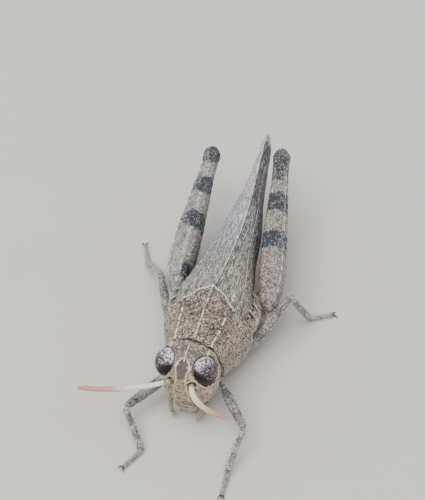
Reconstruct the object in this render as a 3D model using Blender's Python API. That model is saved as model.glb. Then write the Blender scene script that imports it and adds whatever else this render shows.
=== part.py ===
"""A female short-horned grasshopper at life size, crouched on its six feet.

The head faces -Y, the insect's left is +X and up is +Z. Sizes are in millimetres until a mesh is made. The
body is laid out from the middle of the front edge of the pronotum, at y = 0, over a floor at z = 0. When all
is built the whole is moved so that the middle of the underside of its bounding box is the origin.
"""

import math

import bmesh
import bpy
from mathutils import Matrix, Vector

MM = 0.001
CUT = 0.10              # width of the thin cuts that part one piece from the next
LEFT, RIGHT = 1, -1

# Trunk
PRONOTUM_LENGTH = 6.3
PRONOTUM_TOP = 7.95     # height of the median keel above the floor
BREAST = 1.5            # height of the underside of the thorax
THORAX_END = 9.3
ABDOMEN_END = 20.6
WING_TIP = 26.2
HEAD_TURN = math.radians(-2.7)  # the face is turned a little to the insect's right
HEAD_TILT = math.radians(1.7)   # and tilted, with its left eye the higher one

# Legs
FORE_FEMUR, FORE_TIBIA = 4.85, 4.0
MID_FEMUR, MID_TIBIA = 6.1, 4.6
HIND_FEMUR, HIND_TIBIA = 16.3, 13.3
ANKLE = 0.55            # height of an ankle above the floor
SOLE = 0.30             # height of the middle of a foot's pads
ANTENNA_THICK = 0.54
SPINES_A_ROW = 5        # on each of the two upper edges of a hind tibia

# Colours, as linear red, green and blue
GREY_BROWN = (0.20, 0.165, 0.125)
WING_GREY = (0.27, 0.25, 0.225)
SANDY = (0.34, 0.29, 0.22)
EYE_BROWN = (0.045, 0.035, 0.032)
CREAM = (0.72, 0.52, 0.40)
PINK = (0.42, 0.24, 0.20)
FINISHES = {}


# ---------------------------------------------------------------------------------------------- tools

def finish_of(name, colour, roughness):
    """The named material, made the first time it is asked for."""
    if name not in FINISHES:
        material = bpy.data.materials.new(name)
        material.use_nodes = True
        shader = material.node_tree.nodes["Principled BSDF"]
        shader.inputs["Base Color"].default_value = (*colour, 1.0)
        shader.inputs["Roughness"].default_value = roughness
        shader.inputs["Metallic"].default_value = 0.0
        FINISHES[name] = material
    return FINISHES[name]


def along(rows, place):
    """The values of (place, value, value ...) rows at a place, on a smooth curve that never overshoots."""
    if place <= rows[0][0]:
        return list(rows[0][1:])
    if place >= rows[-1][0]:
        return list(rows[-1][1:])
    here = max(i for i in range(len(rows) - 1) if rows[i][0] <= place)
    span = rows[here + 1][0] - rows[here][0]
    t = (place - rows[here][0]) / span

    def step(i, column):
        return (rows[i + 1][column] - rows[i][column]) / (rows[i + 1][0] - rows[i][0])

    def slope(i, column):
        if i == 0 or i == len(rows) - 1:
            return step(min(i, len(rows) - 2), column)
        before, after = step(i - 1, column), step(i, column)
        return 0.0 if before * after <= 0 else 2 * before * after / (before + after)

    values = []
    for column in range(1, len(rows[0])):
        a, b = rows[here][column], rows[here + 1][column]
        m0, m1 = slope(here, column) * span, slope(here + 1, column) * span
        values.append(
            a * (2 * t**3 - 3 * t**2 + 1) + m0 * (t**3 - 2 * t**2 + t)
            + b * (3 * t**2 - 2 * t**3) + m1 * (t**3 - t**2)
        )
    return values


def power(value, exponent):
    """A power that keeps the sign of its base, as a superellipse needs."""
    return math.copysign(abs(value) ** exponent, value)


def oval(centre, across, up, half_width, half_up, half_down, square=2.0, points=12):
    """A ring of points on a superellipse whose upper and lower halves may differ."""
    ring = []
    for i in range(points):
        turn = 2 * math.pi * i / points
        side = power(math.cos(turn), 2 / square) * half_width
        rise = power(math.sin(turn), 2 / square)
        rise *= half_up if rise > 0 else half_down
        ring.append(centre + across * side + up * rise)
    return ring


def grow(bm, ring, spots):
    """Extrudes a ring of vertices and lays the new ring on the given spots."""
    edges = [bm.edges.get((a, b)) for a, b in zip(ring, ring[1:] + ring[:1])]
    made = bmesh.ops.extrude_edge_only(bm, edges=edges)["geom"]
    fresh = {g for g in made if isinstance(g, bmesh.types.BMVert)}
    grown = []
    for vert, spot in zip(ring, spots):
        far = next(e.other_vert(vert) for e in vert.link_edges if e.other_vert(vert) in fresh)
        far.co = spot * MM
        grown.append(far)
    return grown


def close_end(bm, ring, middle=None):
    """Fills an end ring, as a fan round a middle point where one is given."""
    face = bmesh.ops.contextual_create(bm, geom=ring)["faces"]
    if middle is not None:
        bmesh.ops.poke(bm, faces=face)["verts"][0].co = middle * MM


def mesh_object(name, bm, finish):
    """A closed, outward-facing object made from a bmesh."""
    bmesh.ops.remove_doubles(bm, verts=bm.verts, dist=0.004 * MM)
    bmesh.ops.recalc_face_normals(bm, faces=bm.faces)
    bmesh.ops.triangulate(bm, faces=bm.faces)
    mesh = bpy.data.meshes.new(name)
    bm.to_mesh(mesh)
    bm.free()
    mesh.shade_smooth()
    mesh.set_sharp_from_angle(angle=math.radians(50))
    mesh.materials.append(finish)
    obj = bpy.data.objects.new(name, mesh)
    bpy.context.scene.collection.objects.link(obj)
    return obj


def loft(name, rings, finish, start=None, end=None):
    """A closed body through rings of points, with fans at its ends where their middles are given."""
    bm = bmesh.new()
    first = bmesh.ops.create_circle(bm, segments=len(rings[0]), radius=MM)["verts"]
    for vert, spot in zip(first, rings[0]):
        vert.co = spot * MM
    last = first
    for spots in rings[1:]:
        last = grow(bm, last, spots)
    close_end(bm, first, start)
    close_end(bm, last, end)
    return mesh_object(name, bm, finish)


def swollen(piece, by):
    """A hidden cutter: a copy of a piece, blown up by a distance along its normals."""
    bm = bmesh.new()
    bm.from_mesh(piece.data)
    bmesh.ops.remove_doubles(bm, verts=bm.verts, dist=0.004 * MM)
    bm.normal_update()
    for vert in bm.verts:
        vert.co += vert.normal * by * MM
    return mesh_object("gap_round_" + piece.name, bm, piece.data.materials[0])


def cut_away(piece, cutter):
    """Takes a hidden cutter's shape out of a piece."""
    cutter.hide_render = True
    cutter.display_type = "WIRE"
    modifier = piece.modifiers.new("without_" + cutter.name, "BOOLEAN")
    modifier.operation = "DIFFERENCE"
    modifier.solver = "EXACT"
    modifier.object = cutter


def cut_round(piece, *others):
    """Cuts a piece back so that a thin gap parts it from each of the others."""
    for other in others:
        cut_away(piece, swollen(other, CUT))


def join_all(piece, additions):
    """Unites small solids with a piece, in one cutter object of their own."""
    bm = bmesh.new()
    for addition in additions:
        bm.from_mesh(addition.data)
        bpy.data.objects.remove(addition)
    extra = mesh_object("with_" + piece.name, bm, piece.data.materials[0])
    extra.hide_render = True
    extra.display_type = "WIRE"
    modifier = piece.modifiers.new("grown_on", "BOOLEAN")
    modifier.operation = "UNION"
    modifier.solver = "EXACT"
    modifier.object = extra


def square_up(direction, up):
    """Across and up vectors at right angles to a limb's direction."""
    across = direction.cross(up).normalized()
    return across, across.cross(direction).normalized()


# ------------------------------------------------------------------------------------------ head

# Height, front, widest place, back and half width of the capsule, from the mouth to the crown
HEAD_ROWS = [
    (2.35, -2.82, -1.40, -0.20, 1.70),
    (3.0, -3.02, -1.10, 0.05, 2.27),
    (4.0, -3.20, -0.90, 0.35, 2.58),
    (5.2, -3.24, -0.75, 0.50, 2.66),
    (6.3, -3.02, -0.65, 0.60, 2.50),
    (7.1, -2.55, -0.55, 0.60, 2.10),
    (7.6, -1.95, -0.50, 0.45, 1.50),
    (7.88, -1.20, -0.45, 0.15, 0.70),
]
FACE_RIDGE = (0.46, 0.22, 2.9, 7.2)     # half width, height, lowest and highest level of the frontal ridge
EYE_CENTRE = Vector((1.70, -1.70, 6.36))
EYE_RADII = Vector((1.12, 1.10, 1.36))
EYE_LEAN = math.radians(-14)            # the top of the eye leans back
EYE_SPREAD = math.radians(18)           # its lower end is turned outwards
EYE_TAPER = 0.13                        # how much narrower than its middle its lower end is

HEAD_POSE = Matrix.Rotation(HEAD_TURN, 3, "Z") @ Matrix.Rotation(-HEAD_TILT, 3, "Y")
NECK = Vector((0, 0.6, 4.8))


def turned(point):
    """A point of the head, turned about the neck with the face."""
    return HEAD_POSE @ (Vector(point) - NECK) + NECK


def head_ring(level, points=22):
    """The outline of the head at one level, seen from above, with the ridge down its face."""
    front, widest, back, half_width = along(HEAD_ROWS, level)
    ridge_width, ridge_height, low, high = FACE_RIDGE
    fade = max(0.0, min(1.0, (level - low) / 0.8, (high - level) / 0.5))
    ring = []
    for i in range(points):
        turn = 2 * math.pi * i / points
        turn += 0.17 * math.sin(2 * turn)       # closer together along the face and the nape
        x = power(math.sin(turn), 0.92) * half_width
        ahead = math.cos(turn) > 0
        y = widest - power(math.cos(turn), 0.86) * (widest - front if ahead else back - widest)
        if ahead:
            y -= ridge_height * fade / (1 + (x / ridge_width) ** 6)
        ring.append(turned((x, y, level)))
    return ring


def make_eye(side):
    name = "eye_left" if side == LEFT else "eye_right"
    bm = bmesh.new()
    bmesh.ops.create_uvsphere(bm, u_segments=14, v_segments=9, radius=1.0)
    for vert in bm.verts:
        vert.co.xy *= 1 + EYE_TAPER * vert.co.z
    lean = Matrix.Rotation(EYE_LEAN, 4, "X") @ Matrix.Rotation(-EYE_SPREAD * side, 4, "Y")
    stretch = Matrix.Diagonal((*(EYE_RADII * MM), 1.0))
    bmesh.ops.transform(bm, matrix=lean @ stretch, verts=bm.verts)
    spot = turned((EYE_CENTRE.x * side, EYE_CENTRE.y, EYE_CENTRE.z)) * MM
    bmesh.ops.translate(bm, vec=spot, verts=bm.verts)
    return mesh_object(name, bm, finish_of("eye", EYE_BROWN, 0.15))


def make_head(eyes):
    low, high = HEAD_ROWS[0][0], HEAD_ROWS[-1][0]
    rings = [head_ring(low + (high - low) * i / 10) for i in range(11)]
    brown = finish_of("cuticle", GREY_BROWN, 0.75)
    head = loft("head", rings, brown, turned((0, -1.65, low - 0.05)), turned((0, -0.6, high + 0.07)))
    cut_round(head, *eyes)
    return head


def standing_oval(centre, half_width, half_depth, points=12, square=2.3):
    """A level ring of the mouth, seen from above."""
    across, ahead = HEAD_POSE @ Vector((1, 0, 0)), HEAD_POSE @ Vector((0, -1, 0))
    return oval(turned(centre), across, ahead, half_width, half_depth, half_depth, square, points)


def make_labrum():
    """The upper lip, a rounded plate that hangs in front of the jaws."""
    rows = (
        (2.28, -2.60, 0.98, 0.34), (1.95, -2.66, 1.05, 0.34),
        (1.5, -2.60, 0.98, 0.30), (1.2, -2.48, 0.62, 0.27),
    )
    rings = [standing_oval((0, y, z), half_width, half_depth) for z, y, half_width, half_depth in rows]
    return loft("labrum", rings, finish_of("lip", SANDY, 0.6))


def make_jaw(side):
    """A mandible with the jaw behind it, one rounded block to each side of the mouth."""
    name = "jaw_left" if side == LEFT else "jaw_right"
    rows = [(2.25, 0.72, -1.42, 0.62, 0.78), (1.8, 0.68, -1.45, 0.58, 0.74), (1.35, 0.58, -1.5, 0.48, 0.62)]
    rings = [standing_oval((x * side, y, z), width, depth) for z, x, y, width, depth in rows]
    return loft(name, rings, finish_of("cuticle", GREY_BROWN, 0.75))


def make_palp(side):
    """A feeler of the mouth: a short bent tube beside the lip."""
    name = "palp_left" if side == LEFT else "palp_right"
    path = [(1.52, -1.75, 1.75), (1.62, -2.35, 1.45), (1.45, -2.9, 1.1), (1.1, -3.25, 0.62)]
    path = [turned((x * side, y, z)) for x, y, z in path]
    return tube(name, path, [0.27, 0.27, 0.27, 0.30], finish_of("palp", SANDY, 0.6), 8)


def tube(name, path, radii, finish, points=8):
    """A round tube of changing radius along a path of points."""
    rings = []
    for i, spot in enumerate(path):
        ahead = (path[min(i + 1, len(path) - 1)] - path[max(i - 1, 0)]).normalized()
        across, up = square_up(ahead, Vector((0.02, 0.01, 1)))
        rings.append(oval(spot, across, up, radii[i], radii[i], radii[i], points=points))
    return loft(name, rings, finish)


def bowed(start, middle, end, count):
    """Points on an arc of a parabola that passes through three spots."""
    bend = middle * 2 - (start + end) / 2
    spots = []
    for i in range(count):
        t = i / (count - 1)
        spots.append(start * (1 - t) ** 2 + bend * 2 * t * (1 - t) + end * t**2)
    return spots


ANTENNA_PATHS = {   # socket, a point half way and tip
    LEFT: ((0.70, -3.05, 5.82), (2.15, -5.45, 6.9), (5.38, -7.86, 9.45)),
    RIGHT: ((-1.12, -3.00, 5.70), (-5.0, -4.35, 5.0), (-9.02, -5.06, 4.70)),
}


def make_antenna(side):
    """A scape and a pedicel at the face, then a thick thread that narrows to its tip."""
    name = "antenna_left" if side == LEFT else "antenna_right"
    path = bowed(*[Vector(p) for p in ANTENNA_PATHS[side]], 15)
    radii = []
    for i in range(len(path)):
        thick = 0.40 if i < 2 else ANTENNA_THICK / 2
        radii.append(thick if i < len(path) - 1 else thick * 0.75)
    return tube(name, path, radii, finish_of("antenna", CREAM, 0.5), 6)


# ------------------------------------------------------------------------------------------ trunk

def pronotum_profile(t):
    """Half of the saddle's cross-section, from the median keel round to the middle of its underside."""
    keel, disc_x, disc_z, flank_x, flank_z, hem_z = along(PRONOTUM_ROWS, t)
    drop, reach = disc_z - flank_z, flank_x - disc_x
    return [
        (0.0, keel), (0.16, keel - 0.14), (disc_x * 0.5, disc_z + 0.24), (disc_x * 0.88, disc_z + 0.06),
        (disc_x, disc_z + 0.12), (disc_x + 0.13, disc_z - 0.10),
        (disc_x + reach * 0.42, disc_z - drop * 0.30), (disc_x + reach * 0.80, disc_z - drop * 0.64),
        (flank_x, flank_z), (flank_x, (flank_z + hem_z) / 2),
        (flank_x - 0.16, hem_z), (flank_x - 0.8, hem_z + 0.1), (flank_x * 0.4, 3.0), (0.0, 3.0),
    ]


# Place from front to rear, keel height, disc edge x and z, widest x and z of the flank, hem height
PRONOTUM_ROWS = [
    (0.0, PRONOTUM_TOP - 0.03, 1.60, 7.50, 2.62, 4.8, 3.40),
    (0.25, PRONOTUM_TOP, 1.79, 7.48, 2.90, 4.5, 2.90),
    (0.5, PRONOTUM_TOP, 1.88, 7.46, 3.38, 4.4, 2.62),
    (0.75, PRONOTUM_TOP, 1.98, 7.42, 3.78, 4.4, 2.55),
    (1.0, PRONOTUM_TOP - 0.02, 2.12, 7.36, 4.02, 4.6, 2.75),
]
# Front and rear edge for each point of the profile: the rear of the disc ends in a blunt point
PRONOTUM_FRONT = (-0.05, 0.0, 0.0, 0.0, 0.0, 0.0, 0.0, 0.0, 0.0, 0.06, 0.2, 0.3, 0.6, 0.6)
PRONOTUM_REAR = (PRONOTUM_LENGTH, 6.24, 5.82, 4.95, 4.70, 4.62, 4.5, 4.42, 4.4, 4.35, 4.1, 4.0, 4.0, 4.0)


def make_pronotum():
    rings = []
    for i in range(9):
        t = i / 8
        half = []
        for (x, z), front, rear in zip(pronotum_profile(t), PRONOTUM_FRONT, PRONOTUM_REAR):
            half.append(Vector((x, front + (rear - front) * t, z)))
        other = [Vector((-p.x, p.y, p.z)) for p in half[-2:0:-1]]
        rings.append(half + other)
    brown = finish_of("cuticle", GREY_BROWN, 0.75)
    return loft("pronotum", rings, brown, Vector((0, 0.6, 5.2)), Vector((0, 4.3, 5.2)))


# Place, half width, top, bottom and middle height of the trunk behind the head
THORAX_ROWS = [
    (0.9, 1.55, 5.2, 1.95, 3.2),
    (2.4, 2.35, 6.0, 1.65, 3.6),
    (4.2, 3.45, 6.4, BREAST, 4.1),
    (5.3, 4.00, 6.5, BREAST, 4.4),
    (6.8, 4.05, 6.5, BREAST, 4.4),
    (7.7, 3.70, 6.5, 1.55, 4.3),
    (8.5, 3.15, 6.4, 1.6, 4.2),
    (THORAX_END, 2.75, 6.3, 1.65, 4.1),
]


def trunk_ring(rows, y, points, square=2.5, step=0.0):
    """A cross-section of the trunk, a little larger by a step at the rear edge of a segment."""
    half_width, top, bottom, middle = along(rows, y)
    centre = Vector((0, y, middle))
    return oval(centre, Vector((1, 0, 0)), Vector((0, 0, 1)), half_width + step,
                top - middle + step, middle - bottom + step, square, points)


def make_thorax(pronotum, head):
    rings = [trunk_ring(THORAX_ROWS, 0.9 + (THORAX_END - 0.9) * i / 9, 20, 2.1) for i in range(10)]
    thorax = loft("thorax", rings, finish_of("pleura", GREY_BROWN, 0.8))
    cut_round(thorax, pronotum, head)
    return thorax


ABDOMEN_ROWS = [
    (THORAX_END + CUT, 2.50, 6.0, 1.70, 3.9),
    (12.0, 2.05, 5.8, 1.70, 3.75),
    (15.0, 1.62, 5.4, 1.80, 3.6),
    (18.0, 1.10, 4.8, 2.05, 3.45),
    (ABDOMEN_END - 0.7, 0.76, 4.25, 2.45, 3.35),
    (ABDOMEN_END, 0.50, 3.9, 2.75, 3.3),
]
SEGMENTS = 8


def make_abdomen():
    """Eight visible rings, each a little wider at its rear edge than the front of the next."""
    start = THORAX_END + CUT
    length = (ABDOMEN_END - start) / SEGMENTS
    rings = []
    for i in range(SEGMENTS):
        front = start + length * i
        for share, step in ((0.0, -0.05), (0.92, 0.04)):
            rings.append(trunk_ring(ABDOMEN_ROWS, front + length * share, 14, 2.1, step))
    rings.append(trunk_ring(ABDOMEN_ROWS, ABDOMEN_END, 14, 2.1, -0.06))
    return loft("abdomen", rings, finish_of("abdomen", SANDY, 0.6))


def make_ovipositor(side):
    """One side's pair of short hooked valves at the end of the abdomen."""
    name = "ovipositor_left" if side == LEFT else "ovipositor_right"
    spots = ((0.32, 0.0, 3.25), (0.33, 0.6, 3.25), (0.34, 1.1, 3.35), (0.34, 1.5, 3.6))
    path = [Vector((x * side, ABDOMEN_END + CUT + y, z)) for x, y, z in spots]
    return tube(name, path, [0.27, 0.28, 0.25, 0.2], finish_of("abdomen", SANDY, 0.6), 7)


# ------------------------------------------------------------------------------------------ wings

WING_THICK = 0.52
# Place, half width, ridge height, hem height, squareness of the shoulder
WING_ROWS = [
    (4.2, 3.15, 7.12, 4.9, 2.7),
    (6.3, 3.42, 7.40, 4.7, 2.7),
    (8.5, 3.00, 7.30, 4.5, 2.6),
    (11.5, 2.35, 7.12, 4.3, 2.4),
    (15.5, 1.85, 6.90, 4.1, 2.2),
    (19.5, 1.08, 6.66, 4.05, 2.1),
    (23.0, 0.68, 6.50, 4.45, 2.0),
    (25.2, 0.54, 6.42, 5.15, 2.0),
    (WING_TIP, 0.50, 6.28, 5.75, 2.0),
]
# Place, how far the wings sway to the insect's left, and the upper wing's free edge off their middle
WING_LINES = [
    (4.2, 0.0, 0.0),
    (6.3, 0.0, 0.12),
    (10.0, 0.0, 0.42),
    (14.0, 0.0, 0.56),
    (19.0, -0.10, 0.38),
    (23.0, -0.25, 0.12),
    (WING_TIP, -0.38, 0.0),
]


def wing_ring(side, y, spare=0.0, points=7):
    """A strip of wing cover at one place: its outer face from free edge to hem, then its inner face.

    It may be grown all round by a spare width. Where it is no wider than it is thick it has no hollow.
    """
    half_width, ridge, hem, square = along(WING_ROWS, y)
    sway, edge = along(WING_LINES, y)
    edge += side * (CUT / 2 - spare)
    half_width, ridge, hem = half_width + spare, ridge + spare, hem - spare
    width, height, thick = half_width - edge * side, ridge - hem, WING_THICK + 2 * spare
    hollow_width, hollow_height = max(0.0, 1 - thick / width), 1 - thick / height
    outer, inner = [], []
    for i in range(points):
        turn = math.pi / 2 * (1 - i / (points - 1))
        across = power(math.cos(turn), 2 / square)
        rise = power(math.sin(turn), 2 / square)
        outer.append(Vector((edge + across * width * side + sway, y, hem + rise * height)))
        spot = (edge + across * width * hollow_width * side + sway, y, hem + rise * height * hollow_height)
        inner.append(Vector(spot))
    return outer + inner[::-1]


def wing_body(name, side, spare=0.0):
    start, end = WING_ROWS[0][0] - spare, WING_TIP + spare
    rings = [wing_ring(side, start + (end - start) * (i / 11) ** 0.92, spare) for i in range(12)]
    return loft(name, rings, finish_of("wing", WING_GREY, 0.7))


def make_wing(side, pronotum, *covered):
    """A wing cover, and the room for it in each piece that it covers."""
    name = "wing_left" if side == LEFT else "wing_right"
    wing = wing_body(name, side)
    cut_round(wing, pronotum)
    room = wing_body("room_for_" + name, side, CUT)
    for piece in covered:
        cut_away(piece, room)
    return wing


# ------------------------------------------------------------------------------------------ legs

def knee_of(hip, ankle, femur, tibia, way):
    """Where the knee lies for two lengths between hip and ankle, on the side of a rough way to it."""
    line = ankle - hip
    span = line.length
    reach = (femur**2 - tibia**2 + span**2) / (2 * span)
    rise = math.sqrt(max(femur**2 - reach**2, 0.0))
    ahead = line / span
    aside = (way - ahead * way.dot(ahead)).normalized()
    return hip + ahead * reach + aside * rise


def limb(name, start, end, up, rows, finish, points=8, square=2.0):
    """A straight limb between two joints; rows give share, half width, upper half and lower half."""
    ahead = (end - start).normalized()
    across, up = square_up(ahead, up)
    length = (end - start).length
    rings = []
    for share, half_width, half_up, half_down in rows:
        spot = start + ahead * length * share
        rings.append(oval(spot, across, up, half_width, half_up, half_down, square, points))
    return loft(name, rings, finish)


def foot(name, ankle, heading, length, finish, thick=0.32):
    """Three pads and a claw joint on the floor, with flat soles."""
    ahead = Vector((math.sin(heading), -math.cos(heading), 0))
    across = Vector((math.cos(heading), math.sin(heading), 0))
    up = Vector((0, 0, 1))
    rings = []
    pads = ((0.0, 1.0), (0.14, 1.05), (0.28, 0.85), (0.42, 1.0), (0.6, 0.8), (0.9, 1.1), (1.0, 0.9))
    for share, swell in pads:
        middle = ankle * (1 - share) + (ankle + ahead * length) * share
        middle.z = SOLE
        half_up = thick * swell * (0.95 if share > 0.1 else 1.2)
        rings.append(oval(middle, across, up, thick * swell, half_up, SOLE * 1.15, 2.4, 8))
    pad = loft(name, rings, finish, None, ankle + ahead * (length + 0.1) + Vector((0, 0, SOLE - ankle.z)))
    bm = bmesh.new()
    bm.from_mesh(pad.data)
    whole = bm.verts[:] + bm.edges[:] + bm.faces[:]
    level = bmesh.ops.bisect_plane(bm, geom=whole, plane_co=(0, 0, 0), plane_no=(0, 0, 1), clear_inner=True)
    rim = [e for e in level["geom_cut"] if isinstance(e, bmesh.types.BMEdge)]
    bmesh.ops.contextual_create(bm, geom=rim)
    bmesh.ops.triangulate(bm, faces=bm.faces)
    bmesh.ops.recalc_face_normals(bm, faces=bm.faces)
    bm.to_mesh(pad.data)
    bm.free()
    return pad


# Share of the length, half width, upper half and lower half
FEMUR_SHAPE = [
    (0.0, 0.30, 0.32, 0.32), (0.10, 0.42, 0.50, 0.45), (0.35, 0.50, 0.60, 0.52), (0.7, 0.44, 0.52, 0.45),
    (0.9, 0.40, 0.46, 0.42), (0.97, 0.40, 0.46, 0.44), (1.0, 0.30, 0.34, 0.32),
]
TIBIA_SHAPE = [
    (0.0, 0.26, 0.28, 0.28), (0.08, 0.36, 0.38, 0.36), (0.2, 0.32, 0.34, 0.32), (0.8, 0.29, 0.30, 0.30),
    (0.95, 0.34, 0.34, 0.34), (1.0, 0.26, 0.26, 0.26),
]
COXA_SHAPE = [
    (0.0, 0.62, 0.62, 0.62), (0.5, 0.66, 0.66, 0.66), (0.9, 0.52, 0.52, 0.52), (1.0, 0.36, 0.36, 0.36),
]
HIND_COXA_SHAPE = [
    (0.0, 0.85, 0.85, 0.85), (0.5, 0.82, 0.8, 0.8), (0.9, 0.62, 0.6, 0.6), (1.0, 0.45, 0.45, 0.45),
]
HIND_TIBIA_SHAPE = [
    (0.0, 0.30, 0.36, 0.36), (0.03, 0.42, 0.50, 0.48), (0.10, 0.40, 0.42, 0.42), (0.3, 0.38, 0.38, 0.38),
    (0.85, 0.36, 0.36, 0.36), (0.96, 0.46, 0.44, 0.44), (1.0, 0.34, 0.34, 0.34),
]

# Hip, ankle, the way from hip to knee and the heading and length of the foot, for each smaller leg
SMALL_LEGS = {
    "fore_left": ((2.5, -0.15, 2.2), (4.95, -7.45, ANKLE), (2.85, -3.88, 0.1), 3, 2.2),
    "fore_right": ((-2.4, -0.15, 2.2), (-2.85, -7.15, ANKLE), (-2.5, -4.1, -0.5), -28, 2.2),
    "mid_left": ((3.5, 4.3, 2.05), (7.7, 10.3, ANKLE), (2.7, 4.6, 2.6), 118, 2.2),
    "mid_right": ((-3.5, 4.3, 2.05), (-8.45, 12.75, ANKLE), (-2.4, 5.4, 1.7), -156, 2.3),
}
SMALL_LENGTHS = {"for": (FORE_FEMUR, FORE_TIBIA), "mid": (MID_FEMUR, MID_TIBIA)}
COXAE = {   # root of each coxa on the breast
    "fore_left": (1.45, 0.95, 2.35), "fore_right": (-1.45, 0.95, 2.35),
    "mid_left": (2.5, 4.7, 2.2), "mid_right": (-2.5, 4.7, 2.2),
}


def between(a, b, gap_a, gap_b):
    """The two ends of a piece that stops short of the joints at each end."""
    ahead = (b - a).normalized()
    return a + ahead * gap_a, b - ahead * gap_b


def make_small_leg(name, thorax, pronotum, head, hind):
    hip, ankle, knee_way, heading, foot_length = SMALL_LEGS[name]
    hip, ankle = Vector(hip), Vector(ankle)
    femur_length, tibia_length = SMALL_LENGTHS[name[:3]]
    knee = knee_of(hip, ankle, femur_length, tibia_length, Vector(knee_way))
    up = Vector((0, 0, 1))
    brown = finish_of("leg", GREY_BROWN, 0.75)
    root = Vector(COXAE[name])
    coxa = limb(name + "_coxa", *between(root, hip, 0.0, 0.12), up, COXA_SHAPE, brown)
    cut_round(coxa, thorax, pronotum)
    femur = limb(name + "_femur", *between(hip, knee, 0.12, 0.0), up, FEMUR_SHAPE, brown)
    tibia = limb(name + "_tibia", *between(knee, ankle, 0.1, 0.0), knee - hip, TIBIA_SHAPE, brown)
    cut_round(femur, coxa, thorax, pronotum)
    if name.startswith("mid"):
        for hind_coxa, hind_femur in hind:
            if name[4:] in hind_coxa.name:
                cut_round(femur, hind_coxa, hind_femur)
    cut_round(tibia, femur)
    pink = finish_of("foot", PINK, 0.6)
    tarsus = foot(name + "_tarsus", ankle, math.radians(heading), foot_length, pink)
    cut_round(tibia, tarsus)


HIND_LEGS = {   # hip, ankle, the way from hip to knee, heading and length of the foot
    "hind_left": ((4.60, 7.6, 4.1), (2.8, 11.9, ANKLE), (-2.85, 16.1, 3.5), 163, 3.9),
    "hind_right": ((-4.15, 7.5, 4.2), (-4.95, 11.3, ANKLE), (-0.75, 15.6, 2.1), -172, 3.9),
}
# Share, half thickness, upper and lower half height of the thick hind femur
HIND_FEMUR_ROWS = [
    (0.0, 0.55, 0.85, 0.75), (0.04, 0.82, 1.40, 1.20), (0.12, 1.08, 1.95, 1.70), (0.24, 1.20, 2.20, 2.00),
    (0.38, 1.16, 2.08, 1.90), (0.55, 1.02, 1.70, 1.50), (0.70, 0.88, 1.28, 1.10), (0.82, 0.76, 0.96, 0.84),
    (0.90, 0.76, 0.94, 0.82), (0.96, 0.82, 1.02, 0.88), (1.0, 0.60, 0.70, 0.56),
]
# Corners of the femur's cross-section as shares of half thickness and half height: keels and ledges
FEMUR_CORNERS = [
    (0.0, 1.0), (0.22, 0.90), (0.72, 0.70), (0.84, 0.58), (1.0, 0.2), (1.0, -0.25), (0.84, -0.62),
    (0.62, -0.78), (0.34, -1.0), (-0.34, -1.0), (-0.62, -0.78), (-0.84, -0.62), (-0.96, -0.25),
    (-0.96, 0.2), (-0.84, 0.58), (-0.72, 0.70), (-0.22, 0.90),
]


def make_hind_femur(name, hip, knee):
    ahead = (knee - hip).normalized()
    across, up = square_up(ahead, Vector((0, 0, 1)))
    rings = []
    for i in range(13):
        share = i / 12
        thick, high, low = along(HIND_FEMUR_ROWS, share)
        middle = hip + (knee - hip) * share
        ring = []
        for side, rise in FEMUR_CORNERS:
            rise *= high if rise > 0 else low
            ring.append(middle + across * side * thick + up * rise)
        rings.append(ring)
    return loft(name, rings, finish_of("femur", SANDY, 0.65), hip - ahead * 0.15, knee + ahead * 0.22)


def spine(root, tip, finish):
    """One pointed spine, sunk a little into what it grows from."""
    ahead = (tip - root).normalized()
    across, up = square_up(ahead, Vector((0.1, 0.2, 1)))
    rings = [oval(spot, across, up, r, r, r, points=4) for spot, r in ((root, 0.16), (tip, 0.03))]
    return loft("spine", rings, finish)


def make_hind_tibia(name, knee, ankle):
    finish = finish_of("hind_tibia", PINK, 0.55)
    start, end = between(knee, ankle, 0.7, 0.2)
    ahead = (end - start).normalized()
    across, up = square_up(ahead, Vector((0, 0, -1)))
    length = (end - start).length
    tibia = limb(name, start, end, Vector((0, 0, -1)), HIND_TIBIA_SHAPE, finish, 8, 2.2)
    spines = []
    for row in (-1, 1):
        for i in range(SPINES_A_ROW):
            share = 0.32 + 0.55 * i / (SPINES_A_ROW - 1)
            root = start + ahead * length * share + across * row * 0.22 + up * 0.2
            tip = root + ahead * 0.42 + across * row * 0.34 + up * 0.42
            spines.append(spine(root, tip, finish))
    join_all(tibia, spines)
    return tibia


def make_hind_leg(name, thorax, pronotum):
    hip, ankle, knee_way, heading, foot_length = HIND_LEGS[name]
    hip, ankle = Vector(hip), Vector(ankle)
    knee = knee_of(hip, ankle, HIND_FEMUR, HIND_TIBIA, Vector(knee_way))
    side = LEFT if hip.x > 0 else RIGHT
    brown = finish_of("leg", GREY_BROWN, 0.75)
    root = Vector((3.0 * side, 7.6, 2.6))
    hollow = Vector((hip.x * 0.96, 7.2, 3.0))
    coxa = limb(name + "_coxa", root, hollow, Vector((0, 0, 1)), HIND_COXA_SHAPE, brown, 10)
    femur = make_hind_femur(name + "_femur", hip, knee)
    cut_round(coxa, thorax, pronotum)
    cut_round(femur, coxa, thorax)
    tibia = make_hind_tibia(name + "_tibia", knee, ankle)
    cut_round(femur, tibia)
    pink = finish_of("foot", PINK, 0.6)
    tarsus = foot(name + "_tarsus", ankle, math.radians(heading), foot_length, pink, 0.36)
    cut_round(tibia, tarsus)
    return coxa, femur


# ------------------------------------------------------------------------------------------ whole

def clear_scene():
    for obj in list(bpy.data.objects):
        bpy.data.objects.remove(obj)


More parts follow.
